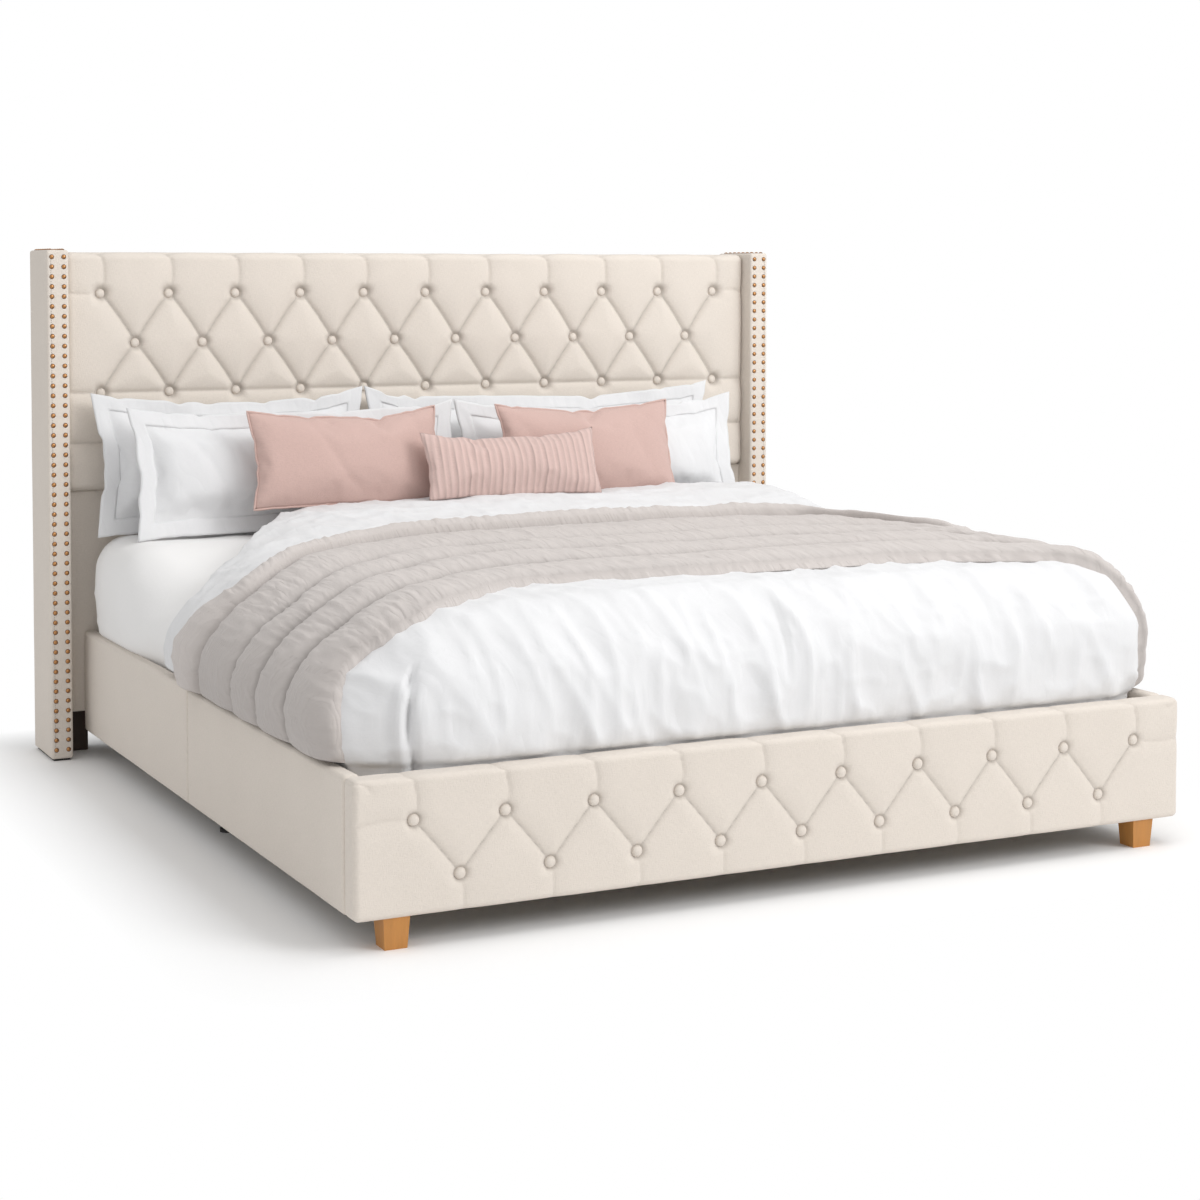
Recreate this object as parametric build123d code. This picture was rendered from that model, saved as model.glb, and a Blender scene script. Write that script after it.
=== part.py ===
from build123d import *
import os
from math import cos, hypot, radians, sin

# Upholstered king-size bed with a tufted wing headboard, a tufted footboard and its bedding.
# X runs across the bed, Y from the foot to the head, Z up. The origin is on the floor, at the
# centre of the bed's outline. Millimetres.

# Driving sizes of the whole bed
overall_width = 2260
overall_height = 1400
overall_length = 2294
frame_side_inset = 108
rail_bottom = 65
rail_top = 345
mattress_height = 320

# Clearances
soft_clearance = 0.5
slide_clearance = 0.3
hole_clearance = 0.2
overrun = 5

# Wings at each side of the headboard
wing_thickness = 60
wing_depth = 207.5
wing_edge_radius = 6
wing_glide_height = 6
wing_glide_inset = 8
wing_reveal = 69.6

# Nails down the front of each wing and back over its top
nail_head_radius = 6
nail_head_height = 2.6
nail_head_sides = 5
nail_pitch = 27
nail_column_spacing = 33
nail_end_margin = 19

# Tufted pad of the headboard
tuft_height = 25
pad_thickness = 52
pad_bottom = 735
pad_top_gap = 5
pad_cap_thickness = 24
pad_edge_radius = 24
head_button_pitch = 193.6
head_row_pitch = 138
head_low_row_height = 1005
head_top_row_count = 11

# Pleats and buttons
pleat_half_width = 42
pleat_depth = 21
pleat_crown_share = 0.40
pleat_crown_depth_share = 0.33
button_radius = 13
button_edge = 2.5
button_dome = 4.5
button_taper = 55
button_sides = 8
dimple_radius = 46
dimple_floor_margin = 3
dimple_crown_share = 0.45
dimple_crown_depth_share = 0.36

# Headboard behind and below the pad
board_thickness = 25
lower_panel_bottom = 120
back_cover_thickness = 8
back_cover_recess = 6
back_cover_bottom = 60
head_leg_width = 70

# Side rails, in two lengths each
rail_thickness = 38
rail_top_radius = 14
rail_bottom_radius = 5
rail_split = -2
ledge_width = 30
ledge_height = 40

# Slats
slat_count = 11
slat_recess = 55
slat_width = 90
slat_thickness = 20
slat_end_margin = 62
slat_side_gap = 3

# Centre beam and the legs under it
beam_width = 45
beam_height = 70
beam_split = 0
beam_leg_offset = 350
support_leg_width = 40
leg_edge_radius = 3
saddle_wall = 4
saddle_length = 34
saddle_depth = 66

# Levelling feet
levelling_radius = 20
levelling_flats = 12
levelling_height = 8
levelling_gap = 12
stud_radius = 4
stud_length = 52
stud_spare = 14

# Footboard
footboard_thickness = 62
foot_tuft_height = 12
foot_pad_front = 30
foot_pad_back = 10
foot_pad_top = 15
foot_pad_side = 14
foot_edge_radius = 14
foot_button_pitch = 198.6
foot_top_row_height = 256
foot_bottom_row_height = 139
foot_top_row_count = 10
foot_pleat_half_width = 26
foot_pleat_depth = 10
foot_dimple_radius = 30
foot_button_radius = 12.5

# Front feet
front_foot_bottom_width = 48
front_foot_top_width = 57
front_foot_inset = 93.3
foot_stud_radius = 4
foot_stud_in_foot = 30
foot_stud_in_board = 35

# Steel plates at the joints
plate_thickness = 3
bracket_height = 100
bracket_leg = 50
bracket_bottom = 120
joiner_length = 200
joiner_height = 60
joiner_bottom = 140

# Mattress
mattress_foot_gap = 21
mattress_head_gap = 43.1
mattress_side_gap = 19
mattress_edge_radius = 85
mattress_foot_radius = 120
mattress_corner_radius = 70
mattress_crown = 6
mattress_bulge = 18

# Duvet
duvet_foot_thickness = 16
duvet_side_thickness = 15
duvet_hem_drop = 45
duvet_top = 652
duvet_fold_top = 716
duvet_fold_start = 60
duvet_fold_rise = 430
duvet_rest_top = 700
duvet_rest_start = 560
duvet_head_end = 655
duvet_shoulder = 182
duvet_foot_shoulder = 165
duvet_crown = 46
duvet_overhang = 12

# Quilt
quilt_thickness = 20
quilt_channel_rise = 7
quilt_channel_gap = 14
quilt_hem_lift = 8
quilt_roll_rise = 10

# Pillows and cushions: width, height, thickness, lean in degrees
rear_left_pillow = (792, 400, 150, 10)
rear_right_pillow = (1126, 400, 150, 10)
front_left_pillow = (948, 366, 140, 12)
front_right_pillow = (908, 366, 140, 12)
blush_left_cushion = (552, 272, 112, 14)
blush_right_cushion = (548, 272, 112, 14)
lumbar_cushion = (528, 196, 90, 20)
pillow_flange = 40
pillow_flange_thickness = 5
row_gap = 4
pillow_seat = 0.5
rear_left_pillow_x = -619
rear_right_pillow_x = 343
front_left_pillow_x = -480
front_right_pillow_x = 452
blush_left_cushion_x = -386
blush_right_cushion_x = 344
lumbar_cushion_x = 62
pillow_seam_share = 0.12
pillow_end_seam_share = 0.15
pillow_draw_share = 0.035
ribbed_cushion_ribs = 22
ribbed_cushion_rib_rise = 4
ribbed_cushion_reach_share = 0.42

# Places worked out from the sizes above
wing_back = overall_length / 2
wing_front = wing_back - wing_depth
wing_inner = overall_width / 2 - wing_thickness
wing_middle = overall_width / 2 - wing_thickness / 2
button_plane = wing_front + wing_reveal
pad_front = button_plane - tuft_height
pad_back = pad_front + pad_thickness
pad_top = overall_height - pad_top_gap
pad_cap_bottom = pad_top - pad_cap_thickness
board_back = pad_back + board_thickness
cover_back = wing_back - back_cover_recess
cover_front = cover_back - back_cover_thickness
foot_front = -overall_length / 2
foot_button_plane = foot_front + foot_tuft_height
foot_back = foot_front + footboard_thickness
rail_outer = overall_width / 2 - frame_side_inset
rail_inner = rail_outer - rail_thickness
slat_top = rail_top - slat_recess
slat_bottom = slat_top - slat_thickness
ledge_bottom = slat_bottom - ledge_height
beam_bottom = slat_bottom - beam_height
leg_bottom = levelling_height + levelling_gap
mattress_foot = foot_back + mattress_foot_gap
mattress_head = button_plane - mattress_head_gap
mattress_length = mattress_head - mattress_foot
mattress_width = 2 * (rail_inner - mattress_side_gap)
front_foot_x = rail_outer - front_foot_inset
mattress_bottom = slat_top + soft_clearance
mattress_top = mattress_bottom + mattress_height


def block(x0, x1, y0, y1, z0, z1):
    """A box between two corners."""
    return Pos((x0 + x1) / 2, (y0 + y1) / 2, (z0 + z1) / 2) * Box(x1 - x0, y1 - y0, z1 - z0)


def mirrored(solid):
    """The same piece on the other side of the bed."""
    return mirror(solid, about=Plane.YZ)


def write(name, *solids):
    """Write one node, as one solid or as a group of separate solids."""
    shape = solids[0] if len(solids) == 1 else Compound(list(solids))
    export_step(shape, "parts/" + name + ".step")


def button_places(count, pitch, height):
    """A row of buttons, centred on the bed."""
    first = -(count - 1) * pitch / 2
    return [(first + i * pitch, height) for i in range(count)]


def pleat_section(half_width, depth):
    """The valley that a pleat sews into a pad: each flank rolls over, then drops to the crease."""
    shoulder = half_width * pleat_crown_share
    sink = depth * pleat_crown_depth_share
    return make_face(Polyline((-half_width, 0), (-half_width, -overrun), (half_width, -overrun),
                              (half_width, 0), (shoulder, sink), (0, depth), (-shoulder, sink),
                              close=True))


def pleat(start, end, front, half_width, depth):
    """A straight pleat in a pad's front, from one (x, z) place to another."""
    dx, dz = end[0] - start[0], end[1] - start[1]
    length = hypot(dx, dz)
    plane = Plane(origin=(start[0], front, start[1]), x_dir=(dz / length, 0, -dx / length),
                  z_dir=(dx / length, 0, dz / length))
    return extrude(plane * pleat_section(half_width, depth), length)


def dimple(radius, floor_radius, depth):
    """The six-sided hollow round a button, cut towards +Y, with a flat floor for the button."""
    shoulder = floor_radius + (radius - floor_radius) * dimple_crown_share
    sink = depth * dimple_crown_depth_share
    outline = Polyline((-radius, 0), (-radius, -overrun), (radius, -overrun), (radius, 0), (shoulder, sink),
                       (floor_radius, depth), (-floor_radius, depth), (-shoulder, sink), close=True)
    slab = extrude(make_face(outline), 2 * radius, both=True)
    return slab & Rot(0, 60, 0) * slab & Rot(0, 120, 0) * slab


def covered_button(radius):
    """A fabric-covered button, raised towards -Y, with its flat back at y = 0."""
    outline = RegularPolygon(radius, button_sides)
    edge = extrude(outline, button_edge)
    crown = extrude(Pos(0, 0, button_edge) * outline, button_dome, taper=button_taper)
    return Rot(90, 0, 0) * (edge + crown)


def head_rows():
    """The headboard's three rows of buttons, from the top down."""
    low = head_low_row_height
    return [button_places(head_top_row_count, head_button_pitch, low + 2 * head_row_pitch),
            button_places(head_top_row_count - 1, head_button_pitch, low + head_row_pitch),
            button_places(head_top_row_count, head_button_pitch, low)]


def headboard_pad():
    """Tufted pad with a cap over the top of the board, diamond pleats and two plain channels."""
    half = wing_inner
    pad = block(-half, half, pad_front, pad_back, pad_bottom, pad_top)
    pad += block(-half, half, pad_back, cover_back, pad_cap_bottom, pad_top)
    pad = fillet(pad.edges().filter_by(Axis.X).group_by(Axis.Y)[0], pad_edge_radius)
    top_row, middle_row, low_row = head_rows()
    cuts = []
    for i in range(len(middle_row)):
        cuts.append(pleat(top_row[i], low_row[i + 1], pad_front, pleat_half_width, pleat_depth))
        cuts.append(pleat(top_row[i + 1], low_row[i], pad_front, pleat_half_width, pleat_depth))
    for x, z in top_row:
        cuts.append(pleat((x, z), (x, pad_top + overrun), pad_front, pleat_half_width, pleat_depth))
    for side in (-1, 1):
        end = top_row[0] if side < 0 else top_row[-1]
        edge = (side * (half + overrun), end[1])
        cuts.append(pleat(end, edge, pad_front, pleat_half_width, pleat_depth))
    for height in (head_low_row_height, head_low_row_height - head_row_pitch):
        cuts.append(pleat((-half - overrun, height), (half + overrun, height), pad_front,
                          pleat_half_width, pleat_depth))
    hollow = dimple(dimple_radius, button_radius + dimple_floor_margin, tuft_height)
    for x, z in top_row + middle_row + low_row:
        cuts.append(Pos(x, pad_front, z) * hollow)
    return pad - cuts


def headboard_buttons():
    button = covered_button(button_radius)
    return [Pos(x, button_plane, z) * button for row in head_rows() for x, z in row]


def headboard_board():
    return block(-wing_inner, wing_inner, pad_back, board_back, lower_panel_bottom, pad_cap_bottom)


def headboard_lower_panel():
    """Plain padded panel between the tufted pad and the rails, set back behind the pad."""
    return block(-wing_inner, wing_inner, button_plane, pad_back, lower_panel_bottom, pad_bottom)


def headboard_back_cover():
    return block(-wing_inner, wing_inner, cover_front, cover_back, back_cover_bottom, pad_cap_bottom)


def headboard_leg():
    """Dark post on the left, behind the board, that stands on the floor beside the wing."""
    leg = block(-wing_inner, -wing_inner + head_leg_width, board_back, cover_front, 0, pad_cap_bottom)
    return fillet(leg.edges().group_by(Axis.Z)[0], leg_edge_radius)


def left_wing():
    wing = block(-overall_width / 2, -wing_inner, wing_front, wing_back, wing_glide_height, overall_height)
    return fillet(wing.edges().filter_by(Axis.Z), wing_edge_radius)


def left_wing_glide():
    inset = wing_glide_inset
    return block(-overall_width / 2 + inset, -wing_inner - inset, wing_front + inset,
                 wing_back - inset, 0, wing_glide_height)


def nail_head():
    """A nail head on the plane z = 0, as a low faceted dome."""
    return loft([RegularPolygon(nail_head_radius, nail_head_sides), Vertex(0, 0, nail_head_height)])


def left_wing_nails():
    """Two columns down the wing's front and two rows back over its top."""
    head = nail_head()
    columns = [-wing_middle - nail_column_spacing / 2, -wing_middle + nail_column_spacing / 2]
    tall = overall_height - wing_glide_height - 2 * nail_end_margin
    down = int(tall // nail_pitch) + 1
    back = int((wing_depth - 2 * nail_end_margin) // nail_pitch) + 1
    nails = []
    for x in columns:
        for i in range(down):
            z = overall_height - nail_end_margin - i * nail_pitch
            nails.append(Pos(x, wing_front, z) * Rot(90, 0, 0) * head)
        for i in range(back):
            y = wing_front + nail_end_margin + i * nail_pitch
            nails.append(Pos(x, y, overall_height) * head)
    return nails


def left_rail(start, end):
    """One length of the upholstered side rail, padded over its edges."""
    rail = block(-rail_outer, -rail_inner, start, end, rail_bottom, rail_top)
    along = rail.edges().filter_by(Axis.Y)
    rail = fillet(along.group_by(Axis.Z)[-1], rail_top_radius)
    bottom = rail.edges().filter_by(Axis.Y).group_by(Axis.Z)[0]
    return fillet(bottom, rail_bottom_radius)


def left_ledge():
    """Timber ledge along the inside of the rail, which the slats rest on."""
    return block(-rail_inner, -rail_inner + ledge_width, foot_back, button_plane, ledge_bottom, slat_bottom)


def slat(index):
    first = foot_back + slat_end_margin
    last = button_plane - slat_end_margin
    y = first + index * (last - first) / (slat_count - 1)
    half = rail_inner - slat_side_gap
    return block(-half, half, y - slat_width / 2, y + slat_width / 2, slat_bottom, slat_top)


def slat_place(share):
    """The centre of the slat that lies nearest to a share of the way from foot to head."""
    index = round(share * (slat_count - 1))
    first = foot_back + slat_end_margin
    last = button_plane - slat_end_margin
    return first + index * (last - first) / (slat_count - 1)


def beam(start, end):
    return block(-beam_width / 2, beam_width / 2, start, end, beam_bottom, slat_bottom)


def saddle(wall, direction):
    """Steel saddle on a cross panel that carries one end of the centre beam."""
    half = beam_width / 2 + slide_clearance
    far = wall + direction * saddle_length
    low = beam_bottom - slide_clearance
    outer = block(-half - saddle_wall, half + saddle_wall, min(wall, far), max(wall, far),
                  low - saddle_wall, low + saddle_depth)
    inner_start = wall + direction * saddle_wall
    inner_end = far + direction * overrun
    return outer - block(-half, half, min(inner_start, inner_end), max(inner_start, inner_end),
                         low, low + saddle_depth + overrun)


def support_leg(x, y, top):
    """Square support leg with a blind hole for the stud of its levelling foot."""
    half = support_leg_width / 2
    leg = block(x - half, x + half, y - half, y + half, leg_bottom, top)
    depth = levelling_height + stud_length + stud_spare - leg_bottom
    hole = Cylinder(stud_radius + slide_clearance, depth, align=(Align.CENTER, Align.CENTER, Align.MIN))
    return leg - Pos(x, y, leg_bottom) * hole


def levelling_foot(x, y):
    """Foot with gripping flats on a threaded stud that screws up into the leg."""
    disc = extrude(RegularPolygon(levelling_radius, levelling_flats), levelling_height)
    stud = Cylinder(stud_radius, stud_length, align=(Align.CENTER, Align.CENTER, Align.MIN))
    return Pos(x, y, 0) * (disc + Pos(0, 0, levelling_height) * stud)


def support_places():
    """Name, x, y and top of each support leg: one inside each rail's joint, two under the beam."""
    side = rail_inner - ledge_width - support_leg_width / 2
    middle = slat_place(0.5)
    return [("left", -side, middle, slat_bottom), ("right", side, middle, slat_bottom),
            ("head", 0, beam_leg_offset, beam_bottom), ("foot", 0, -beam_leg_offset, beam_bottom)]


def foot_rows():
    return [button_places(foot_top_row_count, foot_button_pitch, foot_top_row_height),
            button_places(foot_top_row_count - 1, foot_button_pitch, foot_bottom_row_height)]


def footboard_board():
    front = foot_front + foot_pad_front
    back = foot_back - foot_pad_back
    half = rail_outer - foot_pad_side
    board = block(-half, half, front, back, rail_bottom, rail_top - foot_pad_top)
    return board - [stud_hole(side) for side in (-1, 1)]


def stud_hole(side):
    hole = Cylinder(foot_stud_radius + hole_clearance, foot_stud_in_board,
                    align=(Align.CENTER, Align.CENTER, Align.MIN))
    return Pos(side * front_foot_x, front_foot_y(), rail_bottom) * hole


def footboard_pad():
    """Tufted pad that wraps the footboard's front, ends, top and back."""
    pad = block(-rail_outer, rail_outer, foot_front, foot_back, rail_bottom, rail_top)
    rounded = pad.edges().group_by(Axis.Y)[0].sort_by(Axis.Z)[1:]
    pad = fillet(rounded, foot_edge_radius)
    back_edges = pad.edges().filter_by(Axis.X).group_by(Axis.Y)[-1]
    pad = fillet(back_edges.group_by(Axis.Z)[-1], foot_pad_back - overrun / 2)
    half = rail_outer - foot_pad_side
    pad -= block(-half, half, foot_front + foot_pad_front, foot_back - foot_pad_back,
                 rail_bottom - overrun, rail_top - foot_pad_top)
    top_row, bottom_row = foot_rows()
    size = (foot_front, foot_pleat_half_width, foot_pleat_depth)
    cuts = []
    for i, place in enumerate(bottom_row):
        cuts.append(pleat(top_row[i], place, *size))
        cuts.append(pleat(top_row[i + 1], place, *size))
        cuts.append(pleat(place, (place[0], rail_bottom - overrun), *size))
    for x, z in top_row:
        cuts.append(pleat((x, z), (x, rail_top + overrun), *size))
    for side, end in ((-1, top_row[0]), (1, top_row[-1])):
        cuts.append(pleat(end, (side * (rail_outer + overrun), end[1]), *size))
    hollow = dimple(foot_dimple_radius, foot_button_radius + dimple_floor_margin, foot_tuft_height)
    for x, z in top_row + bottom_row:
        cuts.append(Pos(x, foot_front, z) * hollow)
    return pad - cuts


def footboard_buttons():
    button = covered_button(foot_button_radius)
    return [Pos(x, foot_button_plane, z) * button for row in foot_rows() for x, z in row]


def front_foot_y():
    """The front feet stand under the middle of the footboard's board."""
    return (foot_front + foot_pad_front + foot_back - foot_pad_back) / 2


def left_front_foot():
    """Square foot that tapers down on all four sides, with a hole for its stud."""
    low, high = front_foot_bottom_width / 2, front_foot_top_width / 2
    side = make_face(Polyline((-low, 0), (low, 0), (high, rail_bottom), (-high, rail_bottom), close=True))
    foot = extrude(Plane.XZ * side, high, both=True) & extrude(Plane.YZ * side, high, both=True)
    hole = Cylinder(foot_stud_radius + hole_clearance, foot_stud_in_foot,
                    align=(Align.CENTER, Align.CENTER, Align.MAX))
    return Pos(-front_foot_x, front_foot_y(), 0) * (foot - Pos(0, 0, rail_bottom) * hole)


def left_foot_stud():
    y = front_foot_y()
    low = rail_bottom - foot_stud_in_foot
    stud = Cylinder(foot_stud_radius, foot_stud_in_foot + foot_stud_in_board - overrun,
                    align=(Align.CENTER, Align.CENTER, Align.MIN))
    return Pos(-front_foot_x, y, low) * stud


def left_bracket(wall, direction):
    """Steel angle that fastens the rail's end to a cross panel."""
    y0, y1 = sorted((wall, wall + direction * bracket_leg))
    p0, p1 = sorted((wall, wall + direction * plate_thickness))
    top = bracket_bottom + bracket_height
    angle = block(-rail_inner, -rail_inner + plate_thickness, y0, y1, bracket_bottom, top)
    return angle + block(-rail_inner, -rail_inner + bracket_leg, p0, p1, bracket_bottom, top)


def left_joiner():
    """Steel plate behind the joint of the rail's two lengths."""
    return block(-rail_inner, -rail_inner + plate_thickness, rail_split - joiner_length / 2,
                 rail_split + joiner_length / 2, joiner_bottom, joiner_bottom + joiner_height)


def beam_joiner():
    """Steel plate under the joint of the beam's two lengths."""
    half = beam_width / 2
    return block(-half, half, beam_split - joiner_length / 2, beam_split + joiner_length / 2,
                 beam_bottom - plate_thickness, beam_bottom)


def mattress_side_profile(grow):
    """Outline across the bed: straight inside the rails, full above them, softly crowned."""
    low = mattress_bottom - grow
    half = mattress_width / 2 + grow
    side = half + mattress_bulge
    top = mattress_top + grow
    shoulder = mattress_edge_radius
    bulge_height = (rail_top + top - shoulder) / 2
    right = Polyline((0, low), (half, low), (half, rail_top))
    right += ThreePointArc((half, rail_top), (side, bulge_height), (half, top - shoulder))
    tuck = shoulder * (1 - cos(radians(45)))
    right += ThreePointArc((half, top - shoulder), (half - tuck, top - tuck), (half - shoulder, top))
    right += ThreePointArc((half - shoulder, top), (0, top + mattress_crown), (shoulder - half, top))
    left = Polyline((-half, rail_top), (-half, low), (0, low))
    left += ThreePointArc((shoulder - half, top), (tuck - half, top - tuck), (-half, top - shoulder))
    left += ThreePointArc((-half, top - shoulder), (-side, bulge_height), (-half, rail_top))
    return make_face(right + left)


def mattress_length_profile(grow):
    """Outline along the bed, with a rounded edge at the foot and at the head."""
    low = mattress_bottom - grow
    foot, head = mattress_foot - grow, mattress_head + grow
    top = mattress_top + mattress_crown + grow
    round_foot, round_head = mattress_foot_radius, mattress_edge_radius
    foot_tuck = round_foot * (1 - cos(radians(45)))
    head_tuck = round_head * (1 - cos(radians(45)))
    lines = Polyline((head, top - round_head), (head, low), (foot, low), (foot, top - round_foot))
    lines += ThreePointArc((foot, top - round_foot), (foot + foot_tuck, top - foot_tuck),
                           (foot + round_foot, top))
    lines += Line((foot + round_foot, top), (head - round_head, top))
    lines += ThreePointArc((head - round_head, top), (head - head_tuck, top - head_tuck),
                           (head, top - round_head))
    return make_face(lines)


def mattress_form(grow):
    """The mattress with soft vertical corners, grown all round by a clearance."""
    length = mattress_length + 2 * grow
    across = Plane(origin=(0, mattress_head + grow, 0), x_dir=(1, 0, 0), z_dir=(0, -1, 0))
    along = Plane(origin=(-overall_width / 2, 0, 0), x_dir=(0, 1, 0), z_dir=(1, 0, 0))
    form = extrude(across * mattress_side_profile(grow), length)
    form &= extrude(along * mattress_length_profile(grow), overall_width)
    middle = (mattress_head + mattress_foot) / 2
    width = mattress_width + 2 * mattress_bulge + 4 * grow
    plan = RectangleRounded(width, length, mattress_corner_radius)
    return form & extrude(Pos(0, middle, 0) * plan, overall_height)


def duvet_side_profile(grow):
    """Outline of the duvet across the bed, from the tucked hem out over the rail and up."""
    hem = mattress_width / 2 + duvet_side_thickness
    low = rail_top - duvet_hem_drop
    side = rail_outer + duvet_overhang + grow
    crest = duvet_fold_top + grow
    brow = crest - duvet_crown
    shoulder = duvet_shoulder
    waist = brow - shoulder
    start = rail_top + quilt_hem_lift
    tuck = shoulder * (1 - cos(radians(45)))
    edge = rail_outer - rail_top_radius + grow
    lines = Polyline((-hem, start), (-hem, low), (hem, low), (hem, start), (edge, start))
    lines += ThreePointArc((edge, start), (side, (start + waist) / 2), (edge, waist))
    lines += ThreePointArc((edge, waist), (edge - tuck, brow - tuck), (edge - shoulder, brow))
    lines += ThreePointArc((edge - shoulder, brow), (0, crest), (shoulder - edge, brow))
    lines += ThreePointArc((shoulder - edge, brow), (tuck - edge, brow - tuck), (-edge, waist))
    lines += ThreePointArc((-edge, waist), (-side, (start + waist) / 2), (-edge, start))
    lines += Line((-edge, start), (-hem, start))
    return make_face(lines)


def duvet_drop(x):
    """How far the duvet's crown has fallen at a distance from its middle line."""
    reach = rail_outer - rail_top_radius - duvet_shoulder
    radius = (reach ** 2 + duvet_crown ** 2) / (2 * duvet_crown)
    return radius - (radius ** 2 - x ** 2) ** 0.5


def duvet_length_profile(grow):
    """Outline of the duvet along the bed: full foot, flat middle, and the turned-back fold."""
    low = rail_top - duvet_hem_drop
    foot = mattress_foot - duvet_foot_thickness
    top = duvet_top + grow
    fold = duvet_fold_top + grow
    shoulder = duvet_foot_shoulder
    tuck = shoulder * (1 - cos(radians(45)))
    rise_end = duvet_fold_start + duvet_fold_rise
    rest = duvet_rest_top + grow
    round_off = duvet_rest_top - mattress_top
    head = duvet_head_end
    lines = Polyline((head, mattress_top), (head, low), (foot, low), (foot, top - shoulder))
    lines += ThreePointArc((foot, top - shoulder), (foot + tuck, top - tuck), (foot + shoulder, top))
    lines += Polyline((foot + shoulder, top), (duvet_fold_start, top), (rise_end, fold),
                      (duvet_rest_start, rest), (head - round_off / 2, rest))
    lines += ThreePointArc((head - round_off / 2, rest), (head, (rest + mattress_top) / 2),
                           (head - round_off / 4, mattress_top))
    lines += Line((head - round_off / 4, mattress_top), (head, mattress_top))
    return make_face(lines)


def duvet_envelope(grow):
    """The duvet's outside, square in plan: one outline runs across the bed, one along it."""
    across = Plane(origin=(0, wing_back, 0), x_dir=(1, 0, 0), z_dir=(0, -1, 0))
    along = Plane(origin=(-overall_width / 2, 0, 0), x_dir=(0, 1, 0), z_dir=(1, 0, 0))
    form = extrude(across * duvet_side_profile(grow), overall_length)
    return form & extrude(along * duvet_length_profile(grow), overall_width)


def plan_cut(points):
    """An upright prism over a closed outline in plan."""
    return extrude(make_face(Polyline(*points, close=True)), overall_height)


def duvet_plan():
    """The duvet's outline in plan, cut away at the left of its head end."""
    out = overall_width / 2
    shares = ((-1.0, 0.30), (-0.90, 0.55), (-0.66, 0.96), (-0.40, 1.0), (1.0, 1.0))
    head = [(a * out, b * duvet_head_end) for a, b in shares]
    return head + [(out, foot_front), (-out, foot_front)]


def duvet():
    form = duvet_envelope(0) & plan_cut(duvet_plan())
    return form - mattress_form(soft_clearance)


quilt_front_shares = ((-1.0, -0.93), (-0.88, -0.90), (-0.70, -0.875), (-0.50, -0.74), (-0.28, -0.70),
                      (0.50, -0.73), (0.80, -0.86), (1.0, -0.90))
quilt_head_shares = ((-1.0, 0.0), (-0.88, -0.02), (-0.70, 0.04), (-0.50, 0.105), (-0.28, 0.14),
                     (0.50, 0.14), (0.80, 0.05), (1.0, -0.04))
quilt_channel_shares = (0.0, 0.22, 0.40, 0.57, 0.74, 0.90, 1.0)


def quilt_line(share):
    """A sewn line across the quilt, at a share of the way from its front edge to its head edge."""
    out, reach = overall_width / 2, overall_length / 2
    return [(a * out, (b + (d - b) * share) * reach)
            for (a, b), (c, d) in zip(quilt_front_shares, quilt_head_shares)]


def moved(line, distance):
    return [(x, y + distance) for x, y in line]


def quilt():
    """Channelled quilt across the bed: a thin layer with a padded rib between each two seams."""
    inner = duvet_envelope(soft_clearance)
    seam = duvet_envelope(quilt_thickness - quilt_channel_rise)
    crest = duvet_envelope(quilt_thickness)
    roll = duvet_envelope(quilt_thickness + quilt_roll_rise)
    half_gap = quilt_channel_gap / 2
    whole = quilt_line(quilt_channel_shares[0]) + quilt_line(quilt_channel_shares[-1])[::-1]
    form = seam & plan_cut(whole)
    pairs = list(zip(quilt_channel_shares, quilt_channel_shares[1:]))
    for start, end in pairs:
        strip = moved(quilt_line(start), half_gap) + moved(quilt_line(end), -half_gap)[::-1]
        body = roll if end == quilt_channel_shares[-1] else crest
        form += body & plan_cut(strip)
    floor = block(-overall_width, overall_width, -overall_length, overall_length,
                  0, rail_top + quilt_hem_lift)
    return form - inner - floor


def lens(length, thickness, seam_share):
    """A crowned section along X, whose two faces stand a seam apart at each end of the length."""
    sag = thickness * (1 - seam_share) / 2
    radius = ((length / 2) ** 2 + sag ** 2) / (2 * sag)
    tip = (radius ** 2 - (radius - thickness / 2) ** 2) ** 0.5
    lines = ThreePointArc((-tip, 0), (0, thickness / 2), (tip, 0))
    lines += ThreePointArc((tip, 0), (0, -thickness / 2), (-tip, 0))
    return make_face(lines)


def pillow_outline(width, height):
    """The front view of a pillow, with its sides drawn in between full corners."""
    x, z, draw = width / 2, height / 2, height * pillow_draw_share
    lines = ThreePointArc((-x, -z), (0, draw - z), (x, -z))
    lines += ThreePointArc((x, -z), (x - draw, 0), (x, z))
    lines += ThreePointArc((x, z), (0, z - draw), (-x, z))
    lines += ThreePointArc((-x, z), (draw - x, 0), (-x, -z))
    return make_face(lines)


def pillow(width, height, thickness):
    """Filled pillow: crowned both ways, and thin along its seams."""
    crowned = extrude(lens(width, thickness, pillow_seam_share), height, both=True)
    upward = lens(height, thickness, pillow_end_seam_share)
    crowned &= extrude(Plane.YZ * Rot(0, 0, 90) * upward, width, both=True)
    return crowned & extrude(Plane.XZ * pillow_outline(width, height), thickness, both=True)


def flanged_pillow(width, height, thickness):
    """White pillow whose cover has a flat flange round it."""
    fill = pillow(width - 2 * pillow_flange, height - 2 * pillow_flange, thickness)
    return fill + Box(width, pillow_flange_thickness, height)


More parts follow.
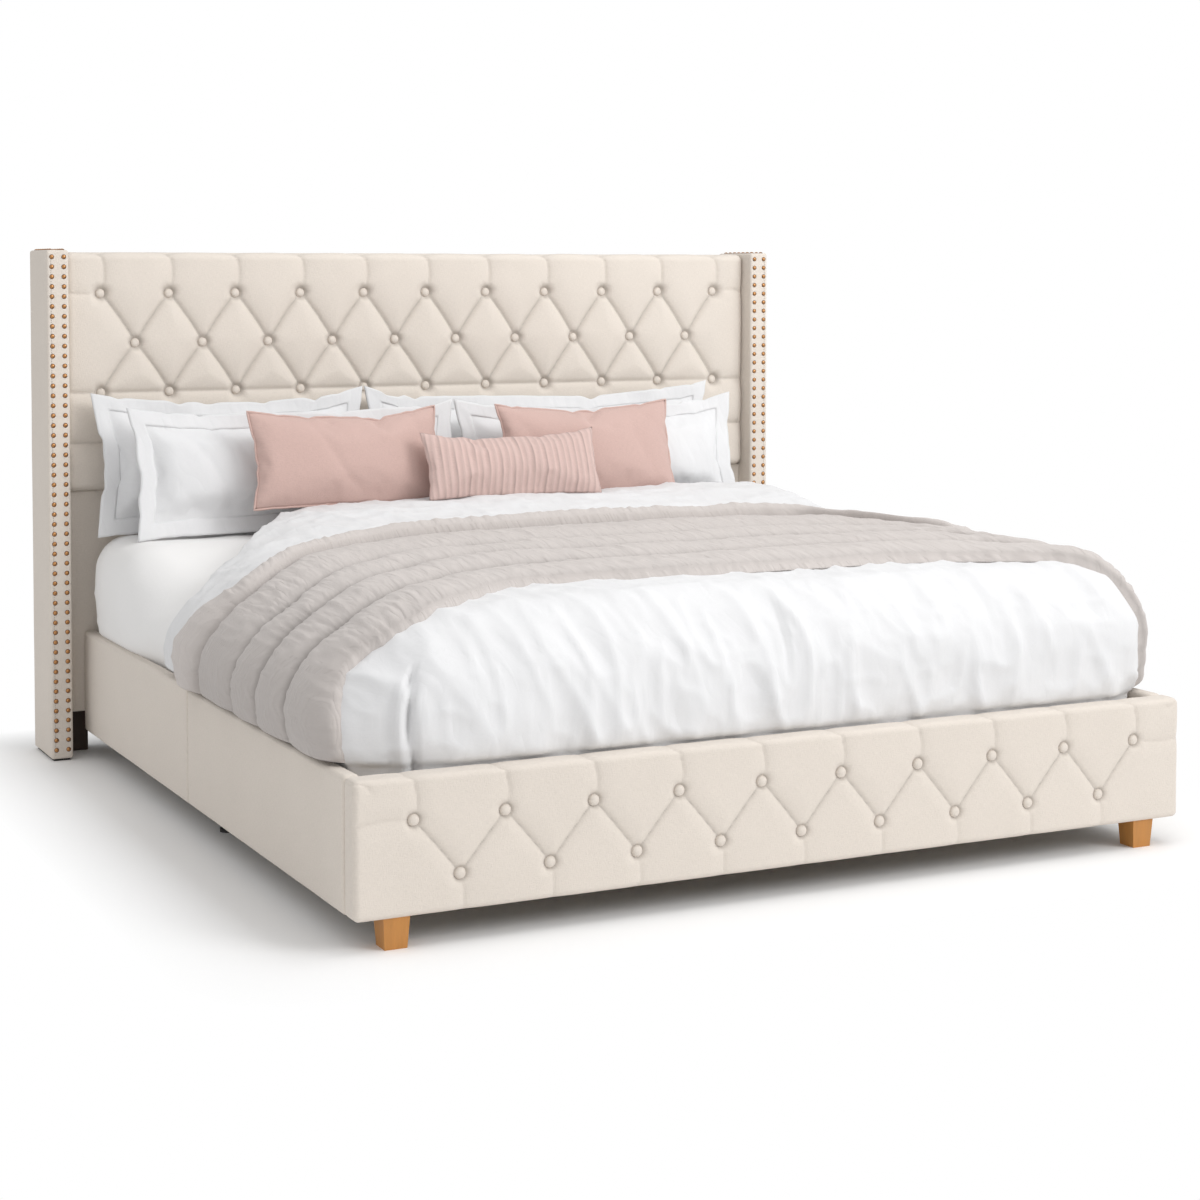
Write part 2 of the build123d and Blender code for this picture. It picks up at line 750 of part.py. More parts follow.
def ribbed_cushion(width, height, thickness):
    """Cushion whose cover is pleated into upright ribs."""
    body = pillow(width, height, thickness)
    pitch = width / ribbed_cushion_ribs
    reach = thickness
    grooves = []
    for i in range(1, ribbed_cushion_ribs):
        x = -width / 2 + i * pitch
        crown = 1 - (1 - pillow_seam_share) * (2 * x / width) ** 2
        depth = thickness / 2 * crown - ribbed_cushion_rib_rise
        if abs(x) > width * ribbed_cushion_reach_share:
            continue
        wedge = Polyline((x, -depth), (x - ribbed_cushion_rib_rise / 2, -reach),
                         (x + ribbed_cushion_rib_rise / 2, -reach), close=True)
        grooves.append(extrude(make_face(wedge), height, both=True))
    return body - grooves


def bedding_rows():
    """The y of the middle of each row of pillows, from the headboard forward."""
    rear = pad_front - rear_left_pillow[2] / 2 - 2 * row_gap
    front = rear - (rear_left_pillow[2] + front_left_pillow[2]) / 2 - row_gap
    blush = front - (front_left_pillow[2] + blush_left_cushion[2]) / 2 - row_gap
    lumbar = blush - (blush_left_cushion[2] + lumbar_cushion[2]) / 2 - row_gap
    return rear, front, blush, lumbar


def laid_pillow(size, maker, x, middle, surface):
    """Stand a pillow on its lower edge on a surface and lean it back towards the headboard."""
    width, height, thickness, lean = size
    edge = pillow_flange_thickness if maker is flanged_pillow else thickness * pillow_seam_share
    lift = (height * cos(radians(lean)) + edge * sin(radians(lean))) / 2
    return Pos(x, middle, surface + pillow_seat + lift) * Rot(-lean, 0, 0) * maker(width, height, thickness)


def write_headboard():
    write("headboard_board", headboard_board())
    write("headboard_pad", headboard_pad())
    write("headboard_buttons", *headboard_buttons())
    write("headboard_lower_panel", headboard_lower_panel())
    write("headboard_back_cover", headboard_back_cover())
    leg = headboard_leg()
    write("left_headboard_leg", leg)
    write("right_headboard_leg", mirrored(leg))
    wing, glide, nails = left_wing(), left_wing_glide(), left_wing_nails()
    write("left_wing", wing)
    write("right_wing", mirrored(wing))
    write("wing_glides", glide, mirrored(glide))
    write("left_wing_nails", *nails)
    write("right_wing_nails", *[mirrored(nail) for nail in nails])


def write_rails():
    head = left_rail(rail_split, button_plane)
    foot = left_rail(foot_back, rail_split)
    for side, turn in (("left", lambda solid: solid), ("right", mirrored)):
        write(side + "_rail_head", turn(head))
        write(side + "_rail_foot", turn(foot))
        write(side + "_slat_ledge", turn(left_ledge()))
    write("joiner_plates", left_joiner(), mirrored(left_joiner()), beam_joiner())
    brackets = [left_bracket(button_plane, -1), left_bracket(foot_back, 1)]
    write("corner_brackets", *brackets, *[mirrored(bracket) for bracket in brackets])


def write_base():
    for index in range(slat_count):
        write("slat_%02d" % (index + 1), slat(index))
    write("centre_beam_head", beam(beam_split, button_plane - saddle_wall))
    write("centre_beam_foot", beam(foot_back + saddle_wall, beam_split))
    write("beam_saddles", saddle(button_plane, -1), saddle(foot_back, 1))
    for name, x, y, top in support_places():
        write("support_leg_" + name, support_leg(x, y, top))
        write("levelling_foot_" + name, levelling_foot(x, y))


def write_footboard():
    write("footboard_board", footboard_board())
    write("footboard_pad", footboard_pad())
    write("footboard_buttons", *footboard_buttons())
    foot, stud = left_front_foot(), left_foot_stud()
    write("left_front_foot", foot)
    write("right_front_foot", mirrored(foot))
    write("foot_studs", stud, mirrored(stud))


def write_bedding():
    rear, front, blush, lumbar = bedding_rows()
    on_sheet = mattress_top + mattress_crown
    on_fold = duvet_rest_top
    ends = (lumbar_cushion_x - lumbar_cushion[0] / 2, lumbar_cushion_x + lumbar_cushion[0] / 2)
    on_crest = duvet_fold_top - duvet_drop(min(abs(x) for x in ends))
    write("mattress", mattress_form(0))
    write("duvet", duvet())
    write("quilt", quilt())
    write("rear_left_pillow", laid_pillow(rear_left_pillow, flanged_pillow, rear_left_pillow_x,
                                          rear, on_sheet))
    write("rear_right_pillow", laid_pillow(rear_right_pillow, flanged_pillow, rear_right_pillow_x,
                                           rear, on_sheet))
    write("front_left_pillow", laid_pillow(front_left_pillow, flanged_pillow, front_left_pillow_x,
                                           front, on_sheet))
    write("front_right_pillow", laid_pillow(front_right_pillow, flanged_pillow, front_right_pillow_x,
                                            front, on_sheet))
    write("blush_left_cushion", laid_pillow(blush_left_cushion, pillow, blush_left_cushion_x,
                                            blush, on_fold))
    write("blush_right_cushion", laid_pillow(blush_right_cushion, pillow, blush_right_cushion_x,
                                             blush, on_fold))
    write("lumbar_cushion", laid_pillow(lumbar_cushion, ribbed_cushion, lumbar_cushion_x,
                                        lumbar, on_crest))


os.makedirs("parts", exist_ok=True)
write_headboard()
write_rails()
write_base()
write_footboard()
write_bedding()
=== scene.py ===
"""Upholstered bed: cloth, padding, bedding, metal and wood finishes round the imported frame."""
import math

import bpy
import numpy as np
from bpy.props import FloatProperty, FloatVectorProperty, IntProperty, PointerProperty
from mathutils import Matrix, Vector


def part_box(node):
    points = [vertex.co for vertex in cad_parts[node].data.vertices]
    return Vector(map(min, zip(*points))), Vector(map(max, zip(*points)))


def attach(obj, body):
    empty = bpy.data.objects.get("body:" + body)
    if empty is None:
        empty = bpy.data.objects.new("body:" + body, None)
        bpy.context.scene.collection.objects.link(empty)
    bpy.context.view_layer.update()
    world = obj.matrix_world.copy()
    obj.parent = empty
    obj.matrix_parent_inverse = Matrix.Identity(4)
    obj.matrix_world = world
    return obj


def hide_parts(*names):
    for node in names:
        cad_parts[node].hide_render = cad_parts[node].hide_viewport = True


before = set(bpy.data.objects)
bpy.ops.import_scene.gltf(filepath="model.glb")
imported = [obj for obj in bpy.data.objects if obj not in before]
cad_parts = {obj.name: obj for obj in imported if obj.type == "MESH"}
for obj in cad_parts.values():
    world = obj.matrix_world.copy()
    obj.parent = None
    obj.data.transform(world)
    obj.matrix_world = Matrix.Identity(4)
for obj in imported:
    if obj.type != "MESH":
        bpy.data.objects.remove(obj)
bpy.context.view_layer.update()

bl_info = {
    "name": "Upholstered Bed Dresser",
    "version": (1, 0, 0),
    "blender": (4, 5, 0),
    "location": "View3D > Sidebar > Bed",
    "description": "Dresses the frame of a tufted bed with cloth, bedding, wood and metal",
    "category": "Object",
}

FORWARD, BACKWARD, SIDEWAYS, UPWARD = (0, -1, 0), (0, 1, 0), (1, 0, 0), (0, 0, 1)
WHITE = (1, 1, 1, 1)
SCREEN_GAMMA = 2.2
# Shortest length that a direction is divided by
SMALL = 1e-9
# A box side this far off, in metres, counts as open
OPEN_END = 9.0


def tone(red, green, blue):
    """A linear colour from one written in screen values of 0 to 255."""
    return tuple((value / 255) ** SCREEN_GAMMA for value in (red, green, blue))


def cloth_colour(label, note, value):
    """A colour that can be set in the panel."""
    return FloatVectorProperty(name=label, description=note, subtype="COLOR", size=3, min=0, max=1,
                               default=value)


def length(label, note, value):
    """A length in metres that can be set in the panel."""
    return FloatProperty(name=label, description=note, default=value, unit="LENGTH", subtype="DISTANCE")


class BedColours(bpy.types.PropertyGroup):
    """Colours of the bed's cloths, woods and metals."""
    linen: cloth_colour("Linen", "Upholstery cloth of the headboard, rails and footboard",
                        tone(218, 209, 199))
    lining: cloth_colour("Lining", "Cloth over the back of the headboard", tone(120, 116, 110))
    sheet: cloth_colour("Sheet", "Fitted sheet over the mattress", tone(236, 235, 234))
    white: cloth_colour("White bedding", "Duvet and sleeping pillows", tone(222, 222, 223))
    quilt: cloth_colour("Quilt", "Channelled quilt across the bed", tone(198, 191, 187))
    blush: cloth_colour("Blush", "Square cushions", tone(200, 171, 163))
    ribbed: cloth_colour("Ribbed", "Long cushion with gathered ribs", tone(210, 184, 177))
    oak: cloth_colour("Oak", "Front feet", tone(186, 128, 66))
    dark_wood: cloth_colour("Dark wood", "Legs behind the headboard and under the slats", tone(58, 44, 36))
    slat: cloth_colour("Slat wood", "Slats, beam and ledges", tone(205, 178, 138))
    board: cloth_colour("Board", "Boards under the padding", tone(186, 160, 122))
    nail: cloth_colour("Nail", "Bright dome of each nail head", tone(176, 130, 88))
    nail_rim: cloth_colour("Nail rim", "Dark rim of each nail head", tone(96, 62, 40))
    steel: cloth_colour("Steel", "Plates, brackets and studs", tone(150, 150, 152))
    glide: cloth_colour("Glide", "Plastic glides and levelling feet", tone(38, 36, 35))


class TuftSizes(bpy.types.PropertyGroup):
    """Sizes of the buttoned padding."""
    head_pitch: length("Headboard pitch", "Distance between buttons in a row of the headboard", 0.1936)
    head_row_gap: length("Headboard row gap", "Height between two rows of the headboard", 0.138)
    head_top_row: length("Headboard top row", "Height of the top row above the floor", 1.281)
    head_seam: length("Lower seam", "Height of the seam between the two plain bands", 0.867)
    head_depth: length("Headboard depth", "How far a headboard button sinks below the padding", 0.025)
    head_fold: length("Headboard fold", "Depth of the folds between headboard buttons", 0.0185)
    head_button: length("Headboard button", "Radius of a covered headboard button", 0.0132)
    foot_pitch: length("Footboard pitch", "Distance between buttons in a row of the footboard", 0.1986)
    foot_top_row: length("Footboard top row", "Height of the footboard's upper row", 0.256)
    foot_low_row: length("Footboard low row", "Height of the footboard's lower row", 0.139)
    foot_depth: length("Footboard depth", "How far a footboard button sinks below the padding", 0.012)
    foot_fold: length("Footboard fold", "Depth of the folds between footboard buttons", 0.0092)
    foot_button: length("Footboard button", "Radius of a covered footboard button", 0.0126)
    cell: length("Cell", "Width of one mesh cell on the padding", 0.0034)


class NailSizes(bpy.types.PropertyGroup):
    """Sizes of the nail heads down the wings."""
    pitch: length("Pitch", "Distance between nails", 0.027)
    columns: length("Columns", "Distance between the two columns", 0.033)
    margin: length("Margin", "From the wing's top edge to the first nail", 0.019)
    radius: length("Radius", "Radius of a nail head", 0.0066)
    dome: length("Dome", "Height of a nail head", 0.0034)


class BeddingSizes(bpy.types.PropertyGroup):
    """Sizes of the mattress, duvet, quilt and pillows."""
    hem: length("Hem", "Height of the duvet's tucked hem above the floor", 0.353)
    tuck: length("Tuck", "Height of the duvet's lower edge inside the rails", 0.304)
    top: length("Top", "Height of the duvet's flat middle", 0.652)
    half_width: length("Half width", "From the bed's middle to the duvet's side", 1.008)
    foot: length("Foot", "From the bed's middle to the duvet's foot", 1.080)
    head: length("Head", "From the bed's middle to the duvet's head end", 0.655)
    bulge: length("Bulge", "How far the duvet's sides swell out", 0.020)
    fold_rise: length("Fold rise", "Height of the turned-back fold above the flat middle", 0.064)
    duvet_thickness: length("Duvet thickness", "Thickness of the duvet at its edges", 0.020)
    quilt_thickness: length("Quilt thickness", "Height of the quilt's ribs above the duvet", 0.036)
    roll: length("Roll", "Height of the quilt's rolled edge above the duvet", 0.047)
    flange: length("Flange", "Width of the white pillows' flat edge", 0.040)
    cell: length("Cell", "Width of one mesh cell on the bedding", 0.0085)
    pillow_cell: length("Pillow cell", "Width of one cloth cell on a pillow", 0.0165)
    ribs: IntProperty(name="Ribs", description="Gathered ribs across the long cushion", default=28, min=4)


class StageSizes(bpy.types.PropertyGroup):
    """The floor, lamps and camera."""
    key_power: FloatProperty(name="Key power", description="Watts of the large lamp at the front right",
                             default=618, min=0)
    fill_power: FloatProperty(name="Fill power", description="Watts of the overhead lamp", default=39, min=0)
    sky: FloatProperty(name="Sky", description="Strength of the even light all round", default=0.74, min=0)
    lens: FloatProperty(name="Lens", description="Focal length in millimetres", default=69.62, min=1)
    eye: FloatVectorProperty(name="Eye", description="Place of the camera", subtype="TRANSLATION",
                             unit="LENGTH", default=(-2.5756, -5.3726, 1.3319))
    turn: FloatProperty(name="Turn", description="How far the camera turns to the right, in degrees",
                        default=26.2961)
    dip: FloatProperty(name="Dip", description="How far the camera looks down, in degrees", default=2.5)
    rise: FloatProperty(name="Rise", description="Vertical shift of the lens", default=-0.1865)


def smooth_step(value):
    """An even rise from 0 to 1 over values from 0 to 1."""
    value = np.clip(value, 0, 1)
    return value * value * (3 - 2 * value)


def unit(directions):
    """Directions with a length of 1."""
    return directions / np.maximum(np.linalg.norm(directions, axis=-1, keepdims=True), SMALL)


def make_piece(name, points, faces, smooth=True):
    """An object in the scene from its points and faces."""
    mesh = bpy.data.meshes.new(name)
    mesh.from_pydata(np.asarray(points, float).reshape(-1, 3).tolist(), [], [list(f) for f in faces])
    mesh.update()
    mesh.polygons.foreach_set("use_smooth", [smooth] * len(mesh.polygons))
    piece = bpy.data.objects.new(name, mesh)
    bpy.context.scene.collection.objects.link(piece)
    return piece


def grid_faces(rows, columns, start=0, flip=False):
    """Square faces over a grid of points."""
    index = start + np.arange(rows * columns).reshape(rows, columns)
    return index_faces(index, flip)


def index_faces(index, flip=False):
    """Square faces over a grid of point numbers."""
    quads = np.stack([index[:-1, :-1], index[:-1, 1:], index[1:, 1:], index[1:, :-1]], -1).reshape(-1, 4)
    return quads[:, ::-1] if flip else quads


def grid_border(index):
    """Point numbers once round a grid, back to the first."""
    return np.concatenate([index[:, 0], index[-1, 1:], index[::-1, -1][1:], index[0, ::-1][1:]])


def stations(low, high, radius, step, bends=4):
    """Places along one side of a box, close together where its edges turn."""
    turn = radius * np.tan(np.linspace(0, math.pi / 4, bends + 1))
    count = max(2, int(round((high - low - 2 * radius) / step)) + 1)
    middle = np.linspace(low + radius, high - radius, count)
    return np.concatenate([low + radius - turn[:0:-1], middle, high - radius + turn[1:]])


def box_shell(lines, without=()):
    """Points and faces over the sides of a box, with lines at the given x, y and z places."""
    points, faces, start = [], [], 0
    for axis in range(3):
        a, b = [i for i in range(3) if i != axis]
        for end in (0, -1):
            if (axis, end) in without:
                continue
            first, second = np.meshgrid(lines[a], lines[b], indexing="ij")
            side = np.empty(first.shape + (3,))
            side[..., axis], side[..., a], side[..., b] = lines[axis][end], first, second
            faces.append(grid_faces(*first.shape, start=start, flip=(end == -1) != (axis == 1)))
            points.append(side.reshape(-1, 3))
            start += side.size // 3
    points, index = np.unique(np.round(np.concatenate(points), 7), axis=0, return_inverse=True)
    return points, index.reshape(-1)[np.concatenate(faces)]


def round_edges(points, low, high, radius):
    """Draw a box's points in to rounded edges. Gives the new points and their outward directions."""
    radius = np.broadcast_to(np.asarray(radius, float), points.shape)
    core = np.clip(points, np.asarray(low) + radius, np.asarray(high) - radius)
    away = unit((points - core) / radius)
    return core + radius * away, unit(away / radius)


def padded_block(low, high, radius, steps, bends=4):
    """Points, outward directions, flat places and faces of a block with rounded edges."""
    flat, faces = box_shell([stations(low[i], high[i], radius, steps[i], bends) for i in range(3)])
    points, out = round_edges(flat, low, high, radius)
    return points, out, flat, faces


class Ripple:
    """Smooth random heights in space, the same each time for the same seed."""
    cells = 32

    def __init__(self, seed):
        self.table = np.random.default_rng(seed).random((self.cells,) * 3)

    def __call__(self, points, size):
        """Heights from -1 to 1 whose bumps are about a size wide, one size for all axes or one each."""
        place = np.asarray(points, float) / np.asarray(size, float) + 2 * self.cells
        cell = np.floor(place).astype(int)
        part = smooth_step(place - cell)
        total = 0
        for corner in np.ndindex(2, 2, 2):
            x, y, z = (part[..., axis] if far else 1 - part[..., axis] for axis, far in enumerate(corner))
            spot = (cell + corner) % self.cells
            total = total + x * y * z * self.table[spot[..., 0], spot[..., 1], spot[..., 2]]
        return 2 * total - 1

    def creases(self, points, size):
        """Sharp-topped wrinkles from 0 to 1."""
        return (1 - np.abs(self(points, size))) ** 3


def finish_piece(piece, look, body, nodes=()):
    """Give a piece its material, its body and the nodes that it stands for."""
    piece.data.materials.append(MATERIALS[look])
    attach(piece, body)
    if nodes:
        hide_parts(*nodes)
    return piece


def link(tree, source, target):
    """Feed a node's input from another node, or set it to a value."""
    if hasattr(source, "is_output"):
        tree.links.new(source, target)
    else:
        target.default_value = source


def new_node(tree, kind, inputs=(), **settings):
    """A shader node with its settings, and its inputs fed or set by name or number."""
    node = tree.nodes.new("ShaderNode" + kind)
    for name, value in settings.items():
        setattr(node, name, value)
    for label, value in inputs:
        link(tree, value, node.inputs[label])
    return node


def node_math(tree, operation, first, second=0.0, third=0.0):
    """The outcome of one sum on up to three numbers."""
    return new_node(tree, "Math", enumerate((first, second, third)), operation=operation).outputs[0]


def node_noise(tree, vector, scale, detail=2.0, roughness=0.5):
    """Smooth noise about 0.5."""
    return new_node(tree, "TexNoise", (("Vector", vector), ("Scale", scale), ("Detail", detail),
                                       ("Roughness", roughness))).outputs["Fac"]


def node_mix(tree, share, first, second, blend="MIX"):
    """Two colours mixed."""
    return new_node(tree, "Mix", (("Factor", share), ("A", first), ("B", second)), data_type="RGBA",
                    blend_type=blend).outputs["Result"]


def node_range(tree, value, low, high, to_low=0.0, to_high=1.0):
    """A number taken from one range to another and held inside it."""
    return new_node(tree, "MapRange", (("Value", value), ("From Min", low), ("From Max", high),
                                       ("To Min", to_low), ("To Max", to_high))).outputs["Result"]


def node_inverse(tree, value):
    """One divided by a number."""
    return node_math(tree, "DIVIDE", 1.0, value)


def piece_place(tree):
    """Places in the piece's own metres."""
    return new_node(tree, "TexCoord").outputs["Object"]


def shared_group(name, inputs):
    """A node group with a colour and number inputs and a colour, a roughness and a height out."""
    tree = bpy.data.node_groups.new(name, "ShaderNodeTree")
    for label, value in inputs:
        kind = "NodeSocketFloat" if isinstance(value, float) else "NodeSocketColor"
        socket = tree.interface.new_socket(name=label, in_out="INPUT", socket_type=kind)
        socket.default_value = value if kind == "NodeSocketFloat" else (*value, 1)
    for label, kind in (("Colour", "NodeSocketColor"), ("Roughness", "NodeSocketFloat"),
                        ("Height", "NodeSocketFloat")):
        tree.interface.new_socket(name=label, in_out="OUTPUT", socket_type=kind)
    return tree, tree.nodes.new("NodeGroupInput").outputs


def close_group(tree, given, shade, roughness, height):
    """Lead a group's shaded colour, roughness and height to its outputs."""
    grey = new_node(tree, "CombineColor", ((0, shade), (1, shade), (2, shade)))
    result = tree.nodes.new("NodeGroupOutput").inputs
    link(tree, node_mix(tree, 1.0, given["Colour"], grey.outputs[0], "MULTIPLY"), result["Colour"])
    link(tree, roughness, result["Roughness"])
    link(tree, height, result["Height"])
    return tree


def thread_places(tree):
    """Places along and across the threads, on whichever way a surface faces."""
    x, y, z = new_node(tree, "SeparateXYZ", ((0, piece_place(tree)),)).outputs
    facing = new_node(tree, "SeparateXYZ", ((0, new_node(tree, "NewGeometry").outputs["Normal"]),))
    level = node_range(tree, node_math(tree, "ABSOLUTE", facing.outputs["Z"]), 0.6, 0.8)
    upright = node_math(tree, "SUBTRACT", 1.0, level)
    along = node_math(tree, "MULTIPLY_ADD", y, upright, x)
    across = node_math(tree, "ADD", node_math(tree, "MULTIPLY", z, upright),
                       node_math(tree, "MULTIPLY", y, level))
    return along, across


def thread_noise(tree, places, along_scale, across_scale, detail=2.0, roughness=0.5):
    """Noise with one scale along the threads and another across them."""
    along, across = places
    spot = new_node(tree, "CombineXYZ", ((0, node_math(tree, "MULTIPLY", along, along_scale)),
                                         (1, node_math(tree, "MULTIPLY", across, across_scale))))
    return node_noise(tree, spot.outputs[0], 1.0, detail, roughness)


def woven_threads(tree, places, fine, long, detail=2.0, roughness=0.5):
    """Threads both ways, about 0."""
    weft = thread_noise(tree, places, long, fine, detail, roughness)
    warp = thread_noise(tree, places, fine, long, detail, roughness)
    return node_math(tree, "SUBTRACT", node_math(tree, "ADD", weft, warp), 1.0)


def weave_group():
    """Plain woven cloth with slubs both ways."""
    tree, given = shared_group("Woven cloth", [
        ("Colour", (0.7, 0.6, 0.5)), ("Thread width", 0.0016), ("Slub length", 0.011),
        ("Slub strength", 0.16), ("Shade", 0.05)])
    threads = woven_threads(tree, thread_places(tree), node_inverse(tree, given["Thread width"]),
                            node_inverse(tree, given["Slub length"]), 3.0, 0.6)
    slub = node_math(tree, "MULTIPLY_ADD", threads, given["Slub strength"], 1.0)
    broad = node_math(tree, "SUBTRACT", node_noise(tree, piece_place(tree), BLOTCHES_PER_METRE), 0.5)
    shade = node_math(tree, "MULTIPLY", slub, node_math(tree, "MULTIPLY_ADD", broad, given["Shade"], 1.0))
    return close_group(tree, given, shade, node_range(tree, threads, -0.5, 0.5, 0.96, 0.84), threads)


def crinkle_group():
    """Soft washed cotton with small crinkles, finer down its length, with painted shade in their hollows and
    painted light on their tops.
    """
    tree, given = shared_group("Washed cotton", [
        ("Colour", (0.9, 0.9, 0.9)), ("Crinkle size", 0.05), ("Crinkle stretch", 2.5),
        ("Thread width", 0.0012), ("Weave", 0.05), ("Shade", 0.04)])
    places = thread_places(tree)
    size = node_inverse(tree, given["Crinkle size"])
    broad = thread_noise(tree, places, size, node_math(tree, "DIVIDE", size, given["Crinkle stretch"]), 1.4)
    folds = node_math(tree, "ABSOLUTE", node_math(tree, "SUBTRACT", broad, 0.5))
    fine = node_inverse(tree, given["Thread width"])
    threads = woven_threads(tree, places, fine, node_math(tree, "DIVIDE", fine, COTTON_SLUB_STRETCH))
    woven = node_math(tree, "MULTIPLY_ADD", threads, given["Weave"], 1.0)
    # Painted shade in the crinkles' hollows and painted light on their tops, scaled by Shade
    painted_crinkle_shade = node_math(tree, "MULTIPLY", node_math(tree, "SUBTRACT", folds, 0.1), given["Shade"])
    return close_group(tree, given, node_math(tree, "ADD", woven, painted_crinkle_shade),
                       node_range(tree, broad, 0.3, 0.7, 0.92, 0.8),
                       node_math(tree, "MULTIPLY_ADD", threads, 0.02, folds))


def grain_group():
    """Wood grain that runs along the axis with the smallest scale."""
    tree, given = shared_group("Wood grain", [
        ("Colour", (0.5, 0.3, 0.1)), ("Across", 60.0), ("Along", 5.0), ("Up", 60.0), ("Contrast", 0.45)])
    place = new_node(tree, "SeparateXYZ", ((0, piece_place(tree)),)).outputs
    bent = new_node(tree, "CombineXYZ", [(i, node_math(tree, "MULTIPLY", place[i], given[label]))
                                         for i, label in enumerate(("Across", "Along", "Up"))]).outputs[0]
    rings = node_math(tree, "MULTIPLY", node_noise(tree, bent, 1.0, 4.0, 0.6), 0.7)
    pores = node_math(tree, "MULTIPLY", node_noise(tree, bent, 7.0, 2.0, 0.7), 0.3)
    mixed = node_math(tree, "ADD", rings, pores)
    shade = node_math(tree, "MULTIPLY_ADD", node_math(tree, "SUBTRACT", mixed, 0.5), given["Contrast"], 1.0)
    return close_group(tree, given, shade, node_range(tree, mixed, 0.3, 0.7, 0.36, 0.55), mixed)


def worn_group():
    """Smooth metal or plastic with a slight haze and rubbed spots."""
    tree, given = shared_group("Rubbed surface", [
        ("Colour", (0.5, 0.5, 0.5)), ("Spot size", 0.008), ("Spot shade", 0.25), ("Gloss", 0.32),
        ("Haze", 0.15)])
    spots = node_noise(tree, piece_place(tree), node_inverse(tree, given["Spot size"]), 3.0, 0.6)
    shade = node_math(tree, "MULTIPLY_ADD", node_math(tree, "SUBTRACT", spots, 0.5), given["Spot shade"], 1.0)
    return close_group(tree, given, shade, node_math(tree, "MULTIPLY_ADD", spots, given["Haze"],
                                                     given["Gloss"]), spots)


BLOTCHES_PER_METRE = 7.0
COTTON_SLUB_STRETCH = 6.0
CLOTH_GLOSS = 0.2
SHEEN_ROUGHNESS = 0.5
SEAM_SHADE = 0.45
ROLL_SHADE = 1.04
GROUP_MAKERS = {"weave": weave_group, "crinkle": crinkle_group, "grain": grain_group, "worn": worn_group}
GROUPS = {}
MATERIALS = {}


def finish(name, group, colour, relief, values=(), metallic=0.0, sheen=0.0, crease=0.0):
    """A material from a shared group, with its own values, a relief in metres and a share of painted crease
    shade.
    """
    if group not in GROUPS:
        GROUPS[group] = GROUP_MAKERS[group]()
    material = bpy.data.materials.new(name)
    material.use_nodes = True
    tree = material.node_tree
    surface = tree.nodes["Principled BSDF"].inputs
    effect = tree.nodes.new("ShaderNodeGroup")
    effect.node_tree = GROUPS[group]
    for label, value in (("Colour", (*colour, 1)), *values):
        effect.inputs[label].default_value = value
    shown = effect.outputs["Colour"]
    # Painted shade: the colour is darkened by the crease share wherever the mesh's crease mask lies
    if crease:
        painted_shade_mask = new_node(tree, "Attribute", attribute_name="crease").outputs["Fac"]
        shown = node_mix(tree, painted_shade_mask, shown, (*(value * (1 - crease) for value in colour), 1))
    bump = new_node(tree, "Bump", (("Distance", relief), ("Height", effect.outputs["Height"])))
    for label, value in (("Base Color", shown), ("Roughness", effect.outputs["Roughness"]),
                         ("Normal", bump.outputs["Normal"]), ("Metallic", metallic),
                         ("Sheen Weight", sheen), ("Sheen Roughness", SHEEN_ROUGHNESS)):
        link(tree, value, surface[label])
    if group in ("weave", "crinkle"):
        surface["Specular IOR Level"].default_value = CLOTH_GLOSS
    MATERIALS[name] = material


def make_finishes(c):
    """Every material of the bed, in its colours."""
    quilted = [("Crinkle size", 0.02), ("Crinkle stretch", 5.0), ("Weave", 0.10), ("Shade", 0.25)]
    upright = [("Across", 90.0), ("Along", 90.0), ("Up", 7.0)]
    seam = tuple(value * SEAM_SHADE for value in c.linen)
    roll = tuple(min(value * ROLL_SHADE, 1.0) for value in c.quilt)
    # A cloth's crease share darkens it along its mesh's crease mask, as painted shade
    finish("linen", "weave", c.linen, 0.0007, sheen=0.12, crease=0.24)
    finish("linen_seam", "weave", seam, 0.0004)
    finish("lining", "weave", c.lining, 0.0004, [("Slub strength", 0.1)])
    finish("sheet", "crinkle", c.sheet, 0.004, [("Crinkle size", 0.16), ("Shade", 0.02)])
    finish("white_cotton", "crinkle", c.white, 0.0045, [("Crinkle size", 0.045)], sheen=0.08)
    finish("quilt_cotton", "crinkle", c.quilt, 0.008, quilted, sheen=0.15, crease=0.40)
    finish("quilt_fold_cotton", "crinkle", roll, 0.007, quilted, sheen=0.15, crease=0.25)
    finish("blush_linen", "weave", c.blush, 0.0007, [("Slub strength", 0.20)], sheen=0.15)
    finish("ribbed_cotton", "weave", c.ribbed, 0.0006, [("Slub strength", 0.14)], sheen=0.15, crease=0.35)
    finish("oak", "grain", c.oak, 0.0004, [*upright, ("Contrast", 0.55)])
    finish("dark_wood", "grain", c.dark_wood, 0.0003, upright)
    finish("slat_wood", "grain", c.slat, 0.0004, [("Across", 4.0), ("Along", 70.0), ("Up", 70.0)])
    finish("beam_wood", "grain", c.slat, 0.0004, [("Across", 70.0), ("Along", 4.0), ("Up", 70.0)])
    finish("board", "grain", c.board, 0.0004, [("Across", 5.0), ("Along", 90.0), ("Up", 40.0)])
    finish("nail_brass", "worn", c.nail, 0.0001, [("Gloss", 0.30)], metallic=1.0)
    finish("nail_rim", "worn", c.nail_rim, 0.0001, [("Gloss", 0.55)], metallic=0.2)
    finish("plate_steel", "worn", c.steel, 0.0001, [("Gloss", 0.38)], metallic=1.0)
    finish("glide_plastic", "worn", c.glide, 0.0001, [("Gloss", 0.45), ("Spot shade", 0.1)])


# Parts of a valley's depth, each with the power by which it falls away from the valley's line
FOLD_PARTS = ((0.60, 2), (0.40, 12))
HOLLOW_PARTS = ((0.60, 2), (0.40, 5))
